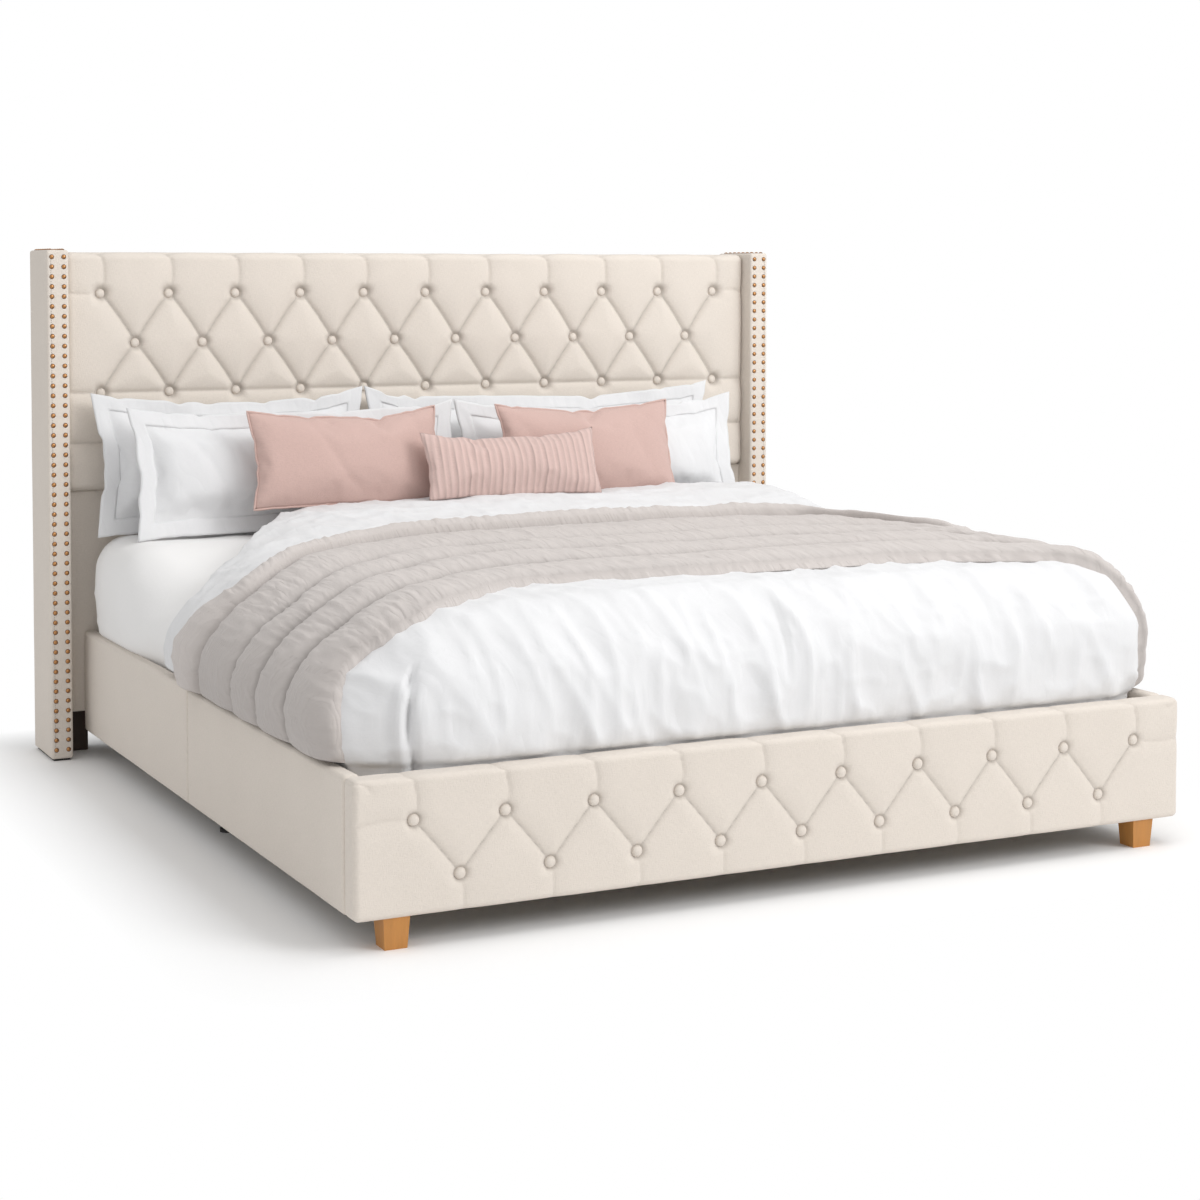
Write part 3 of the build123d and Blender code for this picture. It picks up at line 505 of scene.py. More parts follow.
# How sharply valleys join where they meet, and how closely the painted crease shade keeps to their lines
JOIN_POWER = 4
CREASE_SHADE_POWER = 4
# Buttons of two rows are neighbours when they are less than this far apart along the rows, in metres
NEIGHBOUR_REACH = 0.15
# A place this close to a pad's top edge lies on its top, in metres
ON_TOP = 1e-4


def valley_depth(across, up, folds, hollows, most):
    """How deep the folds and button hollows of a tufted face are at each place."""
    total = np.zeros(across.shape)

    def deepen(depth, near, parts):
        return (depth * sum(share * near ** power for share, power in parts)) ** JOIN_POWER

    for (u0, h0), (u1, h1), bow, depth, reaches in folds:
        du, dh = u1 - u0, h1 - h0
        run = math.hypot(du, dh)
        share = np.clip(((across - u0) * du + (up - h0) * dh) / run ** 2, 0, 1)
        lean = bow * 4 * share * (1 - share)
        du, dh = du / run, dh / run
        side_u = across - (u0 + share * run * du - lean * dh)
        side_h = up - (h0 + share * run * dh + lean * du)
        reach = np.where(side_h * du - side_u * dh > 0, reaches[0], reaches[1])
        total += deepen(depth, np.clip(1 - np.hypot(side_u, side_h) / reach, 0, 1), FOLD_PARTS)
    for u0, h0, depth, seat, reach in hollows:
        near = np.clip((reach - np.hypot(across - u0, up - h0)) / (reach - seat), 0, 1)
        total += deepen(depth, near, HOLLOW_PARTS)
    return np.minimum(total ** (1 / JOIN_POWER), most)


def paint_crease_shade(piece, depths, deepest):
    """Keep how deep each point lies in a fold, as the mask of painted shade along the cloth's crease lines.
    """
    painted_shade_mask = piece.data.attributes.new("crease", "FLOAT", "POINT")
    painted_shade_mask.data.foreach_set("value", np.clip(depths / deepest, 0, 1) ** CREASE_SHADE_POWER)


def button_row(count, pitch, height):
    """Places of a row of buttons, centred on the bed."""
    return [((i - (count - 1) / 2) * pitch, height) for i in range(count)]


def diamond_folds(upper, lower, bow, depth, reaches):
    """Folds from each button of a row to its two neighbours in the row below."""
    return [((u0, h0), (u1, h1), bow if u1 > u0 else -bow, depth, reaches)
            for u0, h0 in upper for u1, h1 in lower if abs(u1 - u0) < NEIGHBOUR_REACH]


def pleats(buttons, edge, path, reaches):
    """Folds that run on from each button towards an edge and over it."""
    folds = []
    for x, height in buttons:
        start = (x, height)
        for step, rise, bow, depth in path:
            end = (x + step, edge + rise)
            folds.append((start, end, bow, depth, reaches))
            start = end
    return folds


def sunk_block(block, low, high, folds, hollows, most, share=1.0):
    """Sink a block's front and top into its folds and hollows. Gives how deep and how much it faces front."""
    points, out, flat, _ = block
    up = flat[:, 2] + np.where(flat[:, 2] >= high.z - ON_TOP, flat[:, 1] - low.y, 0)
    front = np.clip(-out[:, 1] + np.clip(out[:, 2], 0, 1), 0, 1)
    sunk = valley_depth(flat[:, 0], up, folds, hollows, most) * share * front
    return points - out * sunk[:, None], sunk, front


def turned_mesh(radius, rings, turns=20):
    """Profile of a button, nail head or bolt head turned round its own axis, as points and faces."""
    points = [(0, 0, rings[0][1])]
    for share, height in rings[1:]:
        for i in range(turns):
            angle = 2 * math.pi * i / turns
            points.append((radius * share * math.cos(angle), radius * share * math.sin(angle), height))
    faces = [(0, 1 + i, 1 + (i + 1) % turns) for i in range(turns)]
    for ring in range(len(rings) - 2):
        start = 1 + ring * turns
        for i in range(turns):
            j = (i + 1) % turns
            faces.append((start + i, start + turns + i, start + turns + j, start + j))
    return np.array(points), faces


def repeat_mesh(name, points, faces, places):
    """One object with a copy of a small mesh at each place, turned so that its z runs the given way."""
    every, sides = [], []
    for centre, out, side in places:
        out, side = Vector(out), Vector(side)
        turn = np.array(Matrix((side, out.cross(side), out)).transposed())
        sides += [[len(every) * len(points) + i for i in face] for face in faces]
        every.append(points @ turn.T + np.array(centre))
    return make_piece(name, np.concatenate(every), sides)


# Share of a button's radius and height above its seat, from its middle to its rim, in metres
BUTTON_RINGS = [(0, 0.0092), (0.30, 0.0089), (0.55, 0.0079), (0.78, 0.0060), (0.93, 0.0034),
                (1.0, 0.0006), (0.98, -0.0022), (0.80, -0.0040)]


def covered_buttons(name, radius, places, plane, node):
    """Cloth-covered buttons at their places on a pad's front."""
    points, faces = turned_mesh(radius, BUTTON_RINGS)
    buttons = repeat_mesh(name, points, faces, [((x, plane, z), FORWARD, SIDEWAYS) for x, z in places])
    return finish_piece(buttons, "linen", "frame", [node])


class BED_OT_finishes(bpy.types.Operator):
    """Make the cloth, wood and metal materials"""
    bl_idname = "bed.finishes"
    bl_label = "Finishes"

    def execute(self, context):
        make_finishes(context.scene.bed_colours)
        return {"FINISHED"}


# Folds end to end: sideways from the button, height past the pad's edge, bow and depth, in metres
HEAD_PLEATS = ((0.004, -0.018, -0.006, 0.0125), (-0.010, 0.030, -0.003, 0.0125))
FOOT_PLEATS = ((0.002, -0.022, -0.006, 0.0068), (-0.012, 0.012, -0.003, 0.0062), (-0.014, 0.070, 0, 0.0045))
FOOT_LOW_PLEATS = ((0.004, 0, 0.003, 0.0060),)
# How far a fold is felt above it and below it, in metres
HEAD_REACHES = (0.078, 0.060)
HEAD_SIDE_REACHES = (0.055, 0.045)
HEAD_ROW_REACHES = (0.070, 0.055)
HEAD_SEAM_REACHES = (0.060, 0.060)
FOOT_REACHES = (0.050, 0.036)
FOOT_CORNER_REACHES = (0.020, 0.030)


class BED_OT_headboard(bpy.types.Operator):
    """Tuft the headboard between its wings, with its covered buttons and plain lower panel"""
    bl_idname = "bed.headboard"
    bl_label = "Headboard"
    row_counts = (11, 10, 11)
    pad_depth, pad_edge, cap_edge, cap_overlap = 0.052, 0.022, 0.011, (0.012, 0.024)
    hollow_reach = 0.052

    def execute(self, context):
        t = context.scene.bed_tufts
        low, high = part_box("headboard_pad")
        rows = [button_row(count, t.head_pitch, t.head_top_row - index * t.head_row_gap)
                for index, count in enumerate(self.row_counts)]
        spots = [place for row in rows for place in row]
        folds = self.folds(rows, low, high, t)
        hollows = [(x, z, t.head_depth, t.head_button, self.hollow_reach) for x, z in spots]
        front = padded_block(low, Vector((high.x, low.y + self.pad_depth, high.z)), self.pad_edge,
                             (t.cell, 0.02, t.cell * 1.2), bends=6)
        self.tufted("headboard_padding", front, low, high, folds, hollows, t.head_depth)
        behind, below = self.cap_overlap
        cap_low = Vector((low.x, low.y + self.pad_depth - behind, high.z - below))
        cap = padded_block(cap_low, high, self.cap_edge, (t.cell * 2, 0.006, 0.02))
        self.tufted("headboard_cap", cap, low, high, folds, hollows, 0.006, share=0.35)
        covered_buttons("headboard_covered_buttons", t.head_button, spots, low.y + t.head_depth,
                        "headboard_buttons")
        points, _, _, faces = padded_block(*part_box("headboard_lower_panel"), 0.004, (0.05, 0.01, 0.03))
        panel = make_piece("headboard_panel_cloth", points, faces)
        finish_piece(panel, "linen", "frame", ["headboard_lower_panel"])
        return {"FINISHED"}

    def folds(self, rows, low, high, t):
        """Diamonds between the rows, pleats over the top, and the level seams."""
        folds = []
        for upper, lower in zip(rows, rows[1:]):
            folds += diamond_folds(upper, lower, 0.004, t.head_fold, HEAD_REACHES)
        folds += pleats(rows[0], high.z, HEAD_PLEATS, HEAD_REACHES)
        for x, height in (rows[0][0], rows[0][-1]):
            edge = high.x if x > 0 else low.x
            folds.append(((x, height), (edge, height), 0.003, 0.0070, HEAD_SIDE_REACHES))
        for height, depth, reaches in ((rows[2][0][1], 0.0135, HEAD_ROW_REACHES),
                                       (t.head_seam, 0.0130, HEAD_SEAM_REACHES)):
            folds.append(((low.x, height), (high.x, height), 0, depth, reaches))
        return folds

    def tufted(self, name, block, low, high, folds, hollows, most, share=1.0):
        """Cover one block of the headboard, sunk at its folds and buttons."""
        points, sunk, front = sunk_block(block, low, high, folds, hollows, most, share)
        swell = Ripple(3)(points, 0.09) * 0.0012 * front
        piece = make_piece(name, points - block[1] * swell[:, None], block[3])
        # Painted shade along the folds and button hollows, from how deep each point is sunk
        paint_crease_shade(piece, sunk, 0.0175 * share)
        finish_piece(piece, "linen", "frame", ["headboard_pad"])


class BED_OT_wings(bpy.types.Operator):
    """Cover both wings, with a stitched edge and two columns of nail heads each"""
    bl_idname = "bed.wings"
    bl_label = "Wings and nails"
    edge = 0.0075
    stitch_inset, stitch_gap, stitch_run = 0.011, 0.0062, 0.0042
    stitch_end_width, stitch_width = 0.0002, 0.0006
    stitch_foot, stitch_top = 0.0006, 0.0013
    # Share of a nail's radius and of its dome's height, then the rim's heights in metres
    nail_dome = ((0, 1), (0.30, 0.95), (0.55, 0.78), (0.74, 0.5), (0.80, 0.30), (0.92, 0.26))
    nail_rim = ((1.0, 0.0003), (0.97, -0.0006))
    nail_turns, bright_rings, nail_lift = 16, 4, 0.0004

    def execute(self, context):
        for side, sign in (("left", -1), ("right", 1)):
            low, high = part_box(side + "_wing")
            points, out, flat, faces = padded_block(low, high, self.edge, (0.012, 0.018, 0.022))
            share = np.sin(np.pi * (flat - np.array(low)) / (np.array(high) - np.array(low)))
            swell = 0.0014 * np.abs(out[:, 0]) * np.clip(share[:, 1] * share[:, 2] * 3, 0, 1)
            swell += 0.0006 * Ripple(5)(points, 0.12)
            wing = make_piece(side + "_wing_cover", points + out * swell[:, None], faces)
            finish_piece(wing, "linen", "frame", [side + "_wing"])
            self.stitched_edge(side, sign, low, high)
            self.nail_heads(side, low, high, context.scene.bed_nails)
        return {"FINISHED"}

    def stitched_edge(self, side, sign, low, high):
        """A row of short stitches down the outer front corner of a wing."""
        x = sign * (abs(high.x if sign > 0 else low.x) - self.stitch_inset)
        points, faces = [], []
        for i in range(int((high.z - low.z - 0.02) / self.stitch_gap)):
            z, start = low.z + 0.01 + i * self.stitch_gap, len(points)
            for share, width in ((0, self.stitch_end_width), (0.5, self.stitch_width),
                                 (1, self.stitch_end_width)):
                level = z + share * self.stitch_run
                points += [(x - width, low.y - self.stitch_foot, level), (x, low.y - self.stitch_top, level),
                           (x + width, low.y - self.stitch_foot, level)]
            faces += grid_faces(3, 3, start).tolist()
        piece = make_piece(side + "_wing_stitches", points, faces)
        finish_piece(piece, "linen_seam", "frame")

    def nail_heads(self, side, low, high, n):
        """Two columns of nail heads down the front of a wing and back over its top."""
        rings = [(share, n.dome * height) for share, height in self.nail_dome] + list(self.nail_rim)
        points, faces = turned_mesh(n.radius, rings, self.nail_turns)
        middle = (low.x + high.x) / 2
        down = int((high.z - low.z - 2 * n.margin) // n.pitch) + 1
        back = int((high.y - low.y - 2 * n.margin) // n.pitch) + 1
        places = []
        for x in (middle - n.columns / 2, middle + n.columns / 2):
            places += [((x, low.y - self.nail_lift, high.z - n.margin - i * n.pitch), FORWARD, SIDEWAYS)
                       for i in range(down)]
            places += [((x, low.y + n.margin + i * n.pitch, high.z + self.nail_lift), UPWARD, SIDEWAYS)
                       for i in range(back)]
        piece = repeat_mesh(side + "_wing_nail_heads", points, faces, places)
        finish_piece(piece, "nail_brass", "frame", [side + "_wing_nails"])
        piece.data.materials.append(MATERIALS["nail_rim"])
        rim = [i >= self.nail_turns * self.bright_rings for i in range(len(faces))]
        piece.data.polygons.foreach_set("material_index", [int(dark) for dark in rim] * len(places))


class BED_OT_rails(bpy.types.Operator):
    """Cover the four side rail lengths, which meet at a sewn joint"""
    bl_idname = "bed.rails"
    bl_label = "Side rails"
    edge = 0.011

    def execute(self, context):
        for name in (side + "_rail_" + part for side in ("left", "right") for part in ("head", "foot")):
            low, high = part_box(name)
            points, out, flat, faces = padded_block(low, high, self.edge, (0.012, 0.02, 0.014))
            upright = np.sin(np.pi * (flat[:, 2] - low.z) / (high.z - low.z))
            swell = 0.0012 * np.abs(out[:, 0]) * upright + 0.0007 * Ripple(7)(points, 0.11)
            piece = make_piece(name + "_cover", points + out * swell[:, None], faces)
            finish_piece(piece, "linen", "frame", [name])
        return {"FINISHED"}


class BED_OT_footboard(bpy.types.Operator):
    """Tuft the footboard, with its covered buttons and the folded cloth at its corners"""
    bl_idname = "bed.footboard"
    bl_label = "Footboard"
    upper_count, lower_count = 10, 9
    edge, hollow_reach = 0.013, 0.040

    def execute(self, context):
        t = context.scene.bed_tufts
        low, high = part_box("footboard_pad")
        upper = button_row(self.upper_count, t.foot_pitch, t.foot_top_row)
        lower = button_row(self.lower_count, t.foot_pitch, t.foot_low_row)
        folds = diamond_folds(upper, lower, 0.0015, t.foot_fold, FOOT_REACHES)
        folds += pleats(upper, high.z, FOOT_PLEATS, FOOT_REACHES)
        folds += pleats(lower, low.z, FOOT_LOW_PLEATS, FOOT_REACHES)
        for x, height in (upper[0], upper[-1]):
            edge = high.x if x > 0 else low.x
            corner, inner = edge - math.copysign(0.004, edge), edge - math.copysign(0.034, edge)
            folds.append(((x, height), (edge, height - 0.004), -0.006, 0.0052, FOOT_REACHES))
            folds.append(((corner, high.z), (inner, high.z - 0.020), 0.004, 0.0040, FOOT_CORNER_REACHES))
        hollows = [(x, z, t.foot_depth, t.foot_button, self.hollow_reach) for x, z in upper + lower]
        block = padded_block(low, high, self.edge, (t.cell, 0.01, t.cell), bends=5)
        points, sunk, front = sunk_block(block, low, high, folds, hollows, t.foot_depth)
        swell = 0.0008 * Ripple(9)(block[0], 0.08) * front
        piece = make_piece("footboard_padding", points - block[1] * swell[:, None], block[3])
        # Painted shade along the folds and button hollows, from how deep each point is sunk
        paint_crease_shade(piece, sunk, 0.0090)
        finish_piece(piece, "linen", "frame", ["footboard_pad"])
        covered_buttons("footboard_covered_buttons", t.foot_button, upper + lower, low.y + t.foot_depth,
                        "footboard_buttons")
        return {"FINISHED"}


# Radii along x, y and z of the bedding's rounded edges on its left and its right, in metres
LEFT_RADII = (0.30, 0.15, 0.24)
RIGHT_RADII = (0.18, 0.15, 0.19)
# Share of the duvet's side swell that its foot takes
FOOT_BULGE = 0.35


def bed_crest(y, rise):
    """How far the duvet rises over its turned-back fold, and settles behind it."""
    return rise * smooth_step((y - 0.02) / 0.45) - rise * 0.25 * smooth_step((y - 0.56) / 0.08)


def cover_surface(points, lift, sizes, folded=True):
    """Places on the duvet for the points of a box round the bedding, raised by a lift."""
    radius = np.where(points[:, :1] < 0, LEFT_RADII, RIGHT_RADII)
    low = np.array([-sizes.half_width, -sizes.foot, -OPEN_END])
    high = np.array([sizes.half_width, OPEN_END, sizes.top])
    places, out = round_edges(points, low, high, radius)
    rise = np.clip((places[:, 2] - sizes.hem) / (sizes.top - sizes.hem), 0, 1)
    x, y = places[:, 0], places[:, 1]
    droop = (0.022 + 0.03 * smooth_step(y / 0.45)) * np.clip(-x / 0.84, 0, None) ** 2.2
    places = places + out * np.array([1, FOOT_BULGE, 0]) * (sizes.bulge * np.sin(np.pi * rise))[:, None]
    crest = bed_crest(y, sizes.fold_rise * folded) * smooth_step((x + 0.98) / 0.5)
    places[:, 2] += rise * (crest - droop)
    return places + out * np.broadcast_to(np.asarray(lift, float).reshape(-1, 1), (len(points), 1)), out


def cover_path(across, y, sizes):
    """Points of the box round the bedding, a distance across it from the left hem."""
    tall = sizes.top - sizes.hem
    far = tall + 2 * sizes.half_width
    x = np.clip(across - tall - sizes.half_width, -sizes.half_width, sizes.half_width)
    z = np.minimum(np.minimum(sizes.hem + across, sizes.top), sizes.top - (across - far))
    return np.stack([x, y, z], -1).reshape(-1, 3)


def table_curve(table, across):
    """A smooth line through a table of places."""
    s, y = np.array(table, float).T
    slopes = np.gradient(y, s)
    i = np.clip(np.searchsorted(s, across) - 1, 0, len(s) - 2)
    gap = s[i + 1] - s[i]
    t = np.clip((across - s[i]) / gap, 0, 1)
    return ((1 + 2 * t) * (1 - t) ** 2 * y[i] + t * (1 - t) ** 2 * gap * slopes[i]
            + t * t * (3 - 2 * t) * y[i + 1] + t * t * (t - 1) * gap * slopes[i + 1])


class BED_OT_mattress(bpy.types.Operator):
    """Shape the mattress under its fitted sheet"""
    bl_idname = "bed.mattress"
    bl_label = "Mattress"
    # The mattress follows the duvet at the foot and is a rounded block from here on, over this run
    block_from, block_run, block_edge = 0.33, 0.30, 0.085
    under_duvet, sheet_rise, side_swell = 1.25, 0.004, 0.012
    cell, side_turn, foot_turn, side_bends, foot_bends, upright_cells = 0.025, 0.26, 0.15, 12, 8, 18
    # How far the hidden sides under the hem stay inside the mattress box, across and along, in metres
    inset_across, inset_along = 0.035, 0.02

    def execute(self, context):
        b = context.scene.bed_bedding
        low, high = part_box("mattress")
        top = high.z + self.sheet_rise
        x = stations(-b.half_width, b.half_width, self.side_turn, self.cell, self.side_bends)
        y = stations(-b.foot, high.y, self.foot_turn, self.cell, self.foot_bends)
        z = np.concatenate([[low.z], np.linspace(b.hem, b.top, self.upright_cells)])
        flat, faces = box_shell([x, y, z])
        points, out = cover_surface(flat, -b.duvet_thickness * self.under_duvet, b, folded=False)
        block = flat.copy()
        above = flat[:, 2] > b.hem
        block[above, 2] = b.hem + (flat[above, 2] - b.hem) * (top - b.hem) / (b.top - b.hem)
        square, turned = round_edges(block, (-b.half_width, -b.foot, -OPEN_END), (b.half_width, high.y, top),
                                     self.block_edge)
        rise = np.clip((square[:, 2] - b.hem) / (high.z - b.hem), 0, 1)
        square[:, 0] += turned[:, 0] * self.side_swell * np.sin(np.pi * rise)
        share = smooth_step((flat[:, 1:2] - self.block_from) / self.block_run)
        points = points + (square - points) * share
        out = out + (turned - out) * share
        below = flat[:, 2] < b.hem - 0.005
        across = low.x + self.inset_across, high.x - self.inset_across
        points[below, 0] = np.clip(points[below, 0], *across)
        points[below, 1] = np.clip(points[below, 1], low.y + self.inset_along, high.y)
        ripple = Ripple(11)
        swell = 0.004 * ripple(points, 0.30) + 0.0035 * ripple.creases(points, (0.20, 0.10, 0.07))
        points += out * (swell * np.clip((points[:, 2] - b.hem) / 0.03, 0, 1))[:, None]
        piece = make_piece("mattress_sheet", points, faces)
        finish_piece(piece, "sheet", "bedding", ["mattress"])
        return {"FINISHED"}


class BED_OT_duvet(bpy.types.Operator):
    """Lay the duvet over the mattress, tucked in at the foot and turned back at the head"""
    bl_idname = "bed.duvet"
    bl_label = "Duvet"
    # Place across the bed and share of the duvet's length there, as parts of half its width
    head_line = ((-1.0, 0.30), (-0.80, 0.50), (-0.58, 0.92), (-0.36, 1.0), (1.0, 1.0))
    stretch_from = -0.30
    side_bends, foot_bends, tuck_rows = 22, 12, 7
    # How deep the duvet's head end and its tucked edges turn in, and over what run, in metres
    end_drop, end_run, tuck_above, tuck_run, tuck_side, tuck_foot = 0.06, 0.028, 0.014, 0.022, 0.030, 0.003
    # Height, size along x, y and z, slant with the place along the bed and with the height, and where
    wrinkles = (
        (0.0110, (0.075, 0.3, 0.20), 0, 0.4, "foot"),
        (0.0040, (0.16, 0.06, 0.2), 0, 0, "turned back"),
        (0.0080, (0.09, 0.17, 0.15), 0.5, 0, "everywhere"),
        (0.0060, (0.040, 0.2, 0.11), 0.5, 0, "foot"),
        (0.0036, (0.05, 0.04, 0.07), 0, 0, "everywhere"),
    )
    # The tucked fold near the foot's left corner: its place, lean, width and depth, and the swell beside it
    fold_x, fold_lean, fold_width, fold_depth = -0.905, 0.10, 0.010, 0.020
    swell_gap, swell_width, swell_height = 0.03, 0.025, 0.010

    def execute(self, context):
        b = context.scene.bed_bedding
        flat, faces, along = self.flat_cover(b)
        points, out = cover_surface(flat, 0, b)
        ending = smooth_step((along - b.head + self.end_run) / self.end_run)
        points[:, 2] -= self.end_drop * ending * np.clip(out[:, 2], 0, 1)
        tucked = smooth_step((b.hem + self.tuck_above - points[:, 2]) / self.tuck_run)
        inward = np.clip(np.abs(points[:, 0]) - b.half_width + self.tuck_side, 0, 1)
        points[:, 0] -= np.sign(points[:, 0]) * inward * tucked
        points[:, 1] += np.clip(-points[:, 1] - b.foot + self.tuck_foot, 0, 1) * tucked
        lift = self.lift(flat, points, out, b)
        piece = make_piece("duvet_cover", points + out * lift[:, None], faces)
        shell = piece.modifiers.new("Thickness", "SOLIDIFY")
        shell.thickness, shell.offset = b.duvet_thickness, -1
        finish_piece(piece, "white_cotton", "bedding", ["duvet"])
        return {"FINISHED"}

    def flat_cover(self, b):
        """Points and faces of the duvet laid over a box, and how far along the bed each point began."""
        side_turn, foot_turn, _ = LEFT_RADII
        x = stations(-b.half_width, b.half_width, side_turn, b.cell, self.side_bends)
        foot = stations(-b.foot, 0, foot_turn, b.cell, self.foot_bends)[:-self.foot_bends]
        y = np.concatenate([foot, np.arange(b.cell, b.head, b.cell)])
        hem = np.linspace(b.tuck, b.hem, self.tuck_rows + 1)[:-1]
        z = np.concatenate([hem, np.linspace(b.hem, b.top, int((b.top - b.hem) / b.cell) + 1)])
        flat, faces = box_shell([x, y, z], without=[(1, -1), (2, 0)])
        hanging = np.clip((b.top - flat[:, 2]) / 0.3, 0, 1) * (flat[:, 0] < 0)
        reach = np.interp(flat[:, 0] / b.half_width - 0.25 * hanging, *np.array(self.head_line).T) * b.head
        start, along = self.stretch_from, flat[:, 1].copy()
        behind = along > start
        flat[behind, 1] = start + (flat[behind, 1] - start) * ((reach - start) / (b.head - start))[behind]
        return flat, faces, along

    def lift(self, flat, points, out, b):
        """Height of the duvet's wrinkles and of the fold at its corner."""
        ripple = Ripple(13)
        foot = np.clip(-out[:, 1], 0, 1)
        where = {"everywhere": 1, "foot": foot,
                 "turned back": np.clip(out[:, 2], 0, 1) * smooth_step((points[:, 1] + 0.1) / 0.1)}
        lift = 0.006 * ripple(points, 0.30)
        for height, size, slant, lean, place in self.wrinkles:
            slid = points + (slant * points[:, 1:2] + lean * points[:, 2:3]) * np.array(SIDEWAYS)
            lift += height * where[place] * ripple.creases(slid, size)
        lift *= smooth_step((points[:, 2] - b.hem + 0.010) / 0.012)
        fold = flat[:, 0] - self.fold_x + self.fold_lean * (flat[:, 2] - 0.5)
        sunk = np.exp(-(fold / self.fold_width) ** 2) * smooth_step((0.56 - points[:, 2]) / 0.06)
        beside = np.exp(-((fold + self.swell_gap) / self.swell_width) ** 2)
        beside *= smooth_step((0.56 - points[:, 2]) / 0.10)
        return lift - self.fold_depth * sunk * foot + self.swell_height * beside * foot


class BED_OT_quilt(bpy.types.Operator):
    """Lay the channelled quilt across the duvet, with its rolled edge towards the head"""
    bl_idname = "bed.quilt"
    bl_label = "Quilt"
    # Distance across the bed from the left hem, and the quilt's place along the bed there, in metres
    head_line = ((0, 0.02), (0.108, 0.03), (0.20, -0.03), (0.325, -0.10), (0.475, -0.06), (0.587, 0.03),
                 (0.748, 0.12), (0.894, 0.153), (1.174, 0.162), (1.47, 0.166), (1.769, 0.157), (1.95, 0.13),
                 (2.05, 0.05), (2.10, -0.10), (2.14, -0.28), (2.25, -0.40), (2.614, -0.48))
    front_line = ((0, -1.01), (0.15, -0.997), (0.269, -0.98), (0.404, -0.985), (0.486, -0.972),
                  (0.606, -0.918), (0.755, -0.81), (0.998, -0.79), (1.23, -0.82), (1.496, -0.815),
                  (1.765, -0.828), (1.997, -0.898), (2.102, -0.952), (2.255, -1.016), (2.614, -1.035))
    roll_widths = ((0, 0.16), (0.10, 0.21), (0.30, 0.12), (0.60, 0.085), (1.2, 0.075), (2.0, 0.07),
                   (2.614, 0.08))
    # Shares of the quilt's width at its seams, and its one channel where it is rolled
    seam_shares, roll_shares = (0.0, 0.26, 0.49, 0.69, 1.0), (0.0, 1.0)
    cell, roll_overlap = 0.0065, 0.006
    quilt_rows, quilt_crease, roll_rows, roll_crease = 190, 0.0035, 30, 0.0040
    # Heights above the duvet of the seams, the outer edge and the hidden under side, in metres
    seam_height, edge_height, under_height = 0.012, 0.003, -0.006
    edge_round, seam_reach = 0.014, 0.022
    edge_rows, edge_share = 8, 0.03

    def execute(self, context):
        b = context.scene.bed_bedding
        total = 2 * (b.top - b.hem) + 2 * b.half_width
        across = np.linspace(0, total, int(total / self.cell) + 1)
        head = table_curve(self.head_line, across)
        crease = head - table_curve(self.roll_widths, across)
        ripple = Ripple(17)
        rim = np.stack([across, 0 * across, 0 * across], -1)
        front = table_curve(self.front_line, across)
        front = front + 0.004 * np.abs(ripple(rim, 0.022)) + 0.003 * ripple(rim, 0.09)
        quilt = self.panel("quilt_cloth", across, front, crease, self.seam_shares, b.quilt_thickness,
                           self.quilt_rows, self.quilt_crease, b)
        finish_piece(quilt, "quilt_cotton", "bedding", ["quilt"])
        roll = self.panel("quilt_rolled_edge", across, crease - self.roll_overlap, head, self.roll_shares,
                          b.roll, self.roll_rows, self.roll_crease, b)
        finish_piece(roll, "quilt_fold_cotton", "bedding")
        return {"FINISHED"}

    def panel(self, name, across, front, head, seams, thickness, rows, rough, b):
        """A padded strip of the quilt between two lines, ribbed between its seams."""
        channelled = len(seams) > 2
        share = np.concatenate([np.linspace(0, 1, self.edge_rows + 1)[:-1] ** 2 * self.edge_share,
                                np.linspace(self.edge_share, 1, rows + 1 - self.edge_rows)])
        s, t = np.meshgrid(across, share, indexing="ij")
        width = (head - front)[:, None]
        ripple = Ripple(19)
        wander = 0.012 * ripple(np.stack([s, t * 0.9, 0 * s], -1), (0.16, 5, 1)) * np.sin(np.pi * t) ** 0.5
        y = front[:, None] + width * t + wander * channelled
        index = np.clip(np.searchsorted(seams, t, side="right") - 1, 0, len(seams) - 2)
        gap = np.diff(seams)[index]
        inside = (t - np.array(seams)[index]) / gap
        seam = np.exp(-np.minimum(inside, 1 - inside) * width * gap / self.seam_reach)
        puff = np.clip(4 * inside * (1 - inside), 0, 1) ** (0.42 if channelled else 0.55)
        spot = np.stack([s, y, 0 * s], -1)
        lift = self.seam_height + (thickness - self.seam_height) * puff
        lift += 0.0035 * ripple(spot, (0.011, 0.12, 1)) * seam
        lift += rough * ripple.creases(spot, (0.030, 0.16, 1)) * puff
        for height, size in ((0.0018, (0.012, 0.06, 1)), (0.0040, (0.16, 0.12, 1))):
            lift += height * ripple(spot, size) * puff
        edge = np.minimum(t * np.abs(width), np.minimum(s, across[-1] - s) + 0.004)
        lift = self.edge_height + (lift - self.edge_height) * np.sqrt(np.clip(edge / self.edge_round, 0, 1))
        box = cover_path(s.reshape(-1), y.reshape(-1), b)
        top, _ = cover_surface(box, lift.reshape(-1), b)
        under, _ = cover_surface(box, self.under_height, b)
        index = np.arange(len(top)).reshape(s.shape)
        border = grid_border(index)
        ring = np.stack([border[:-1], border[1:], border[1:] + len(top), border[:-1] + len(top)], -1)
        faces = np.concatenate([index_faces(index, flip=True), index_faces(index + len(top)), ring])
        piece = make_piece(name, np.concatenate([top, under]), faces)
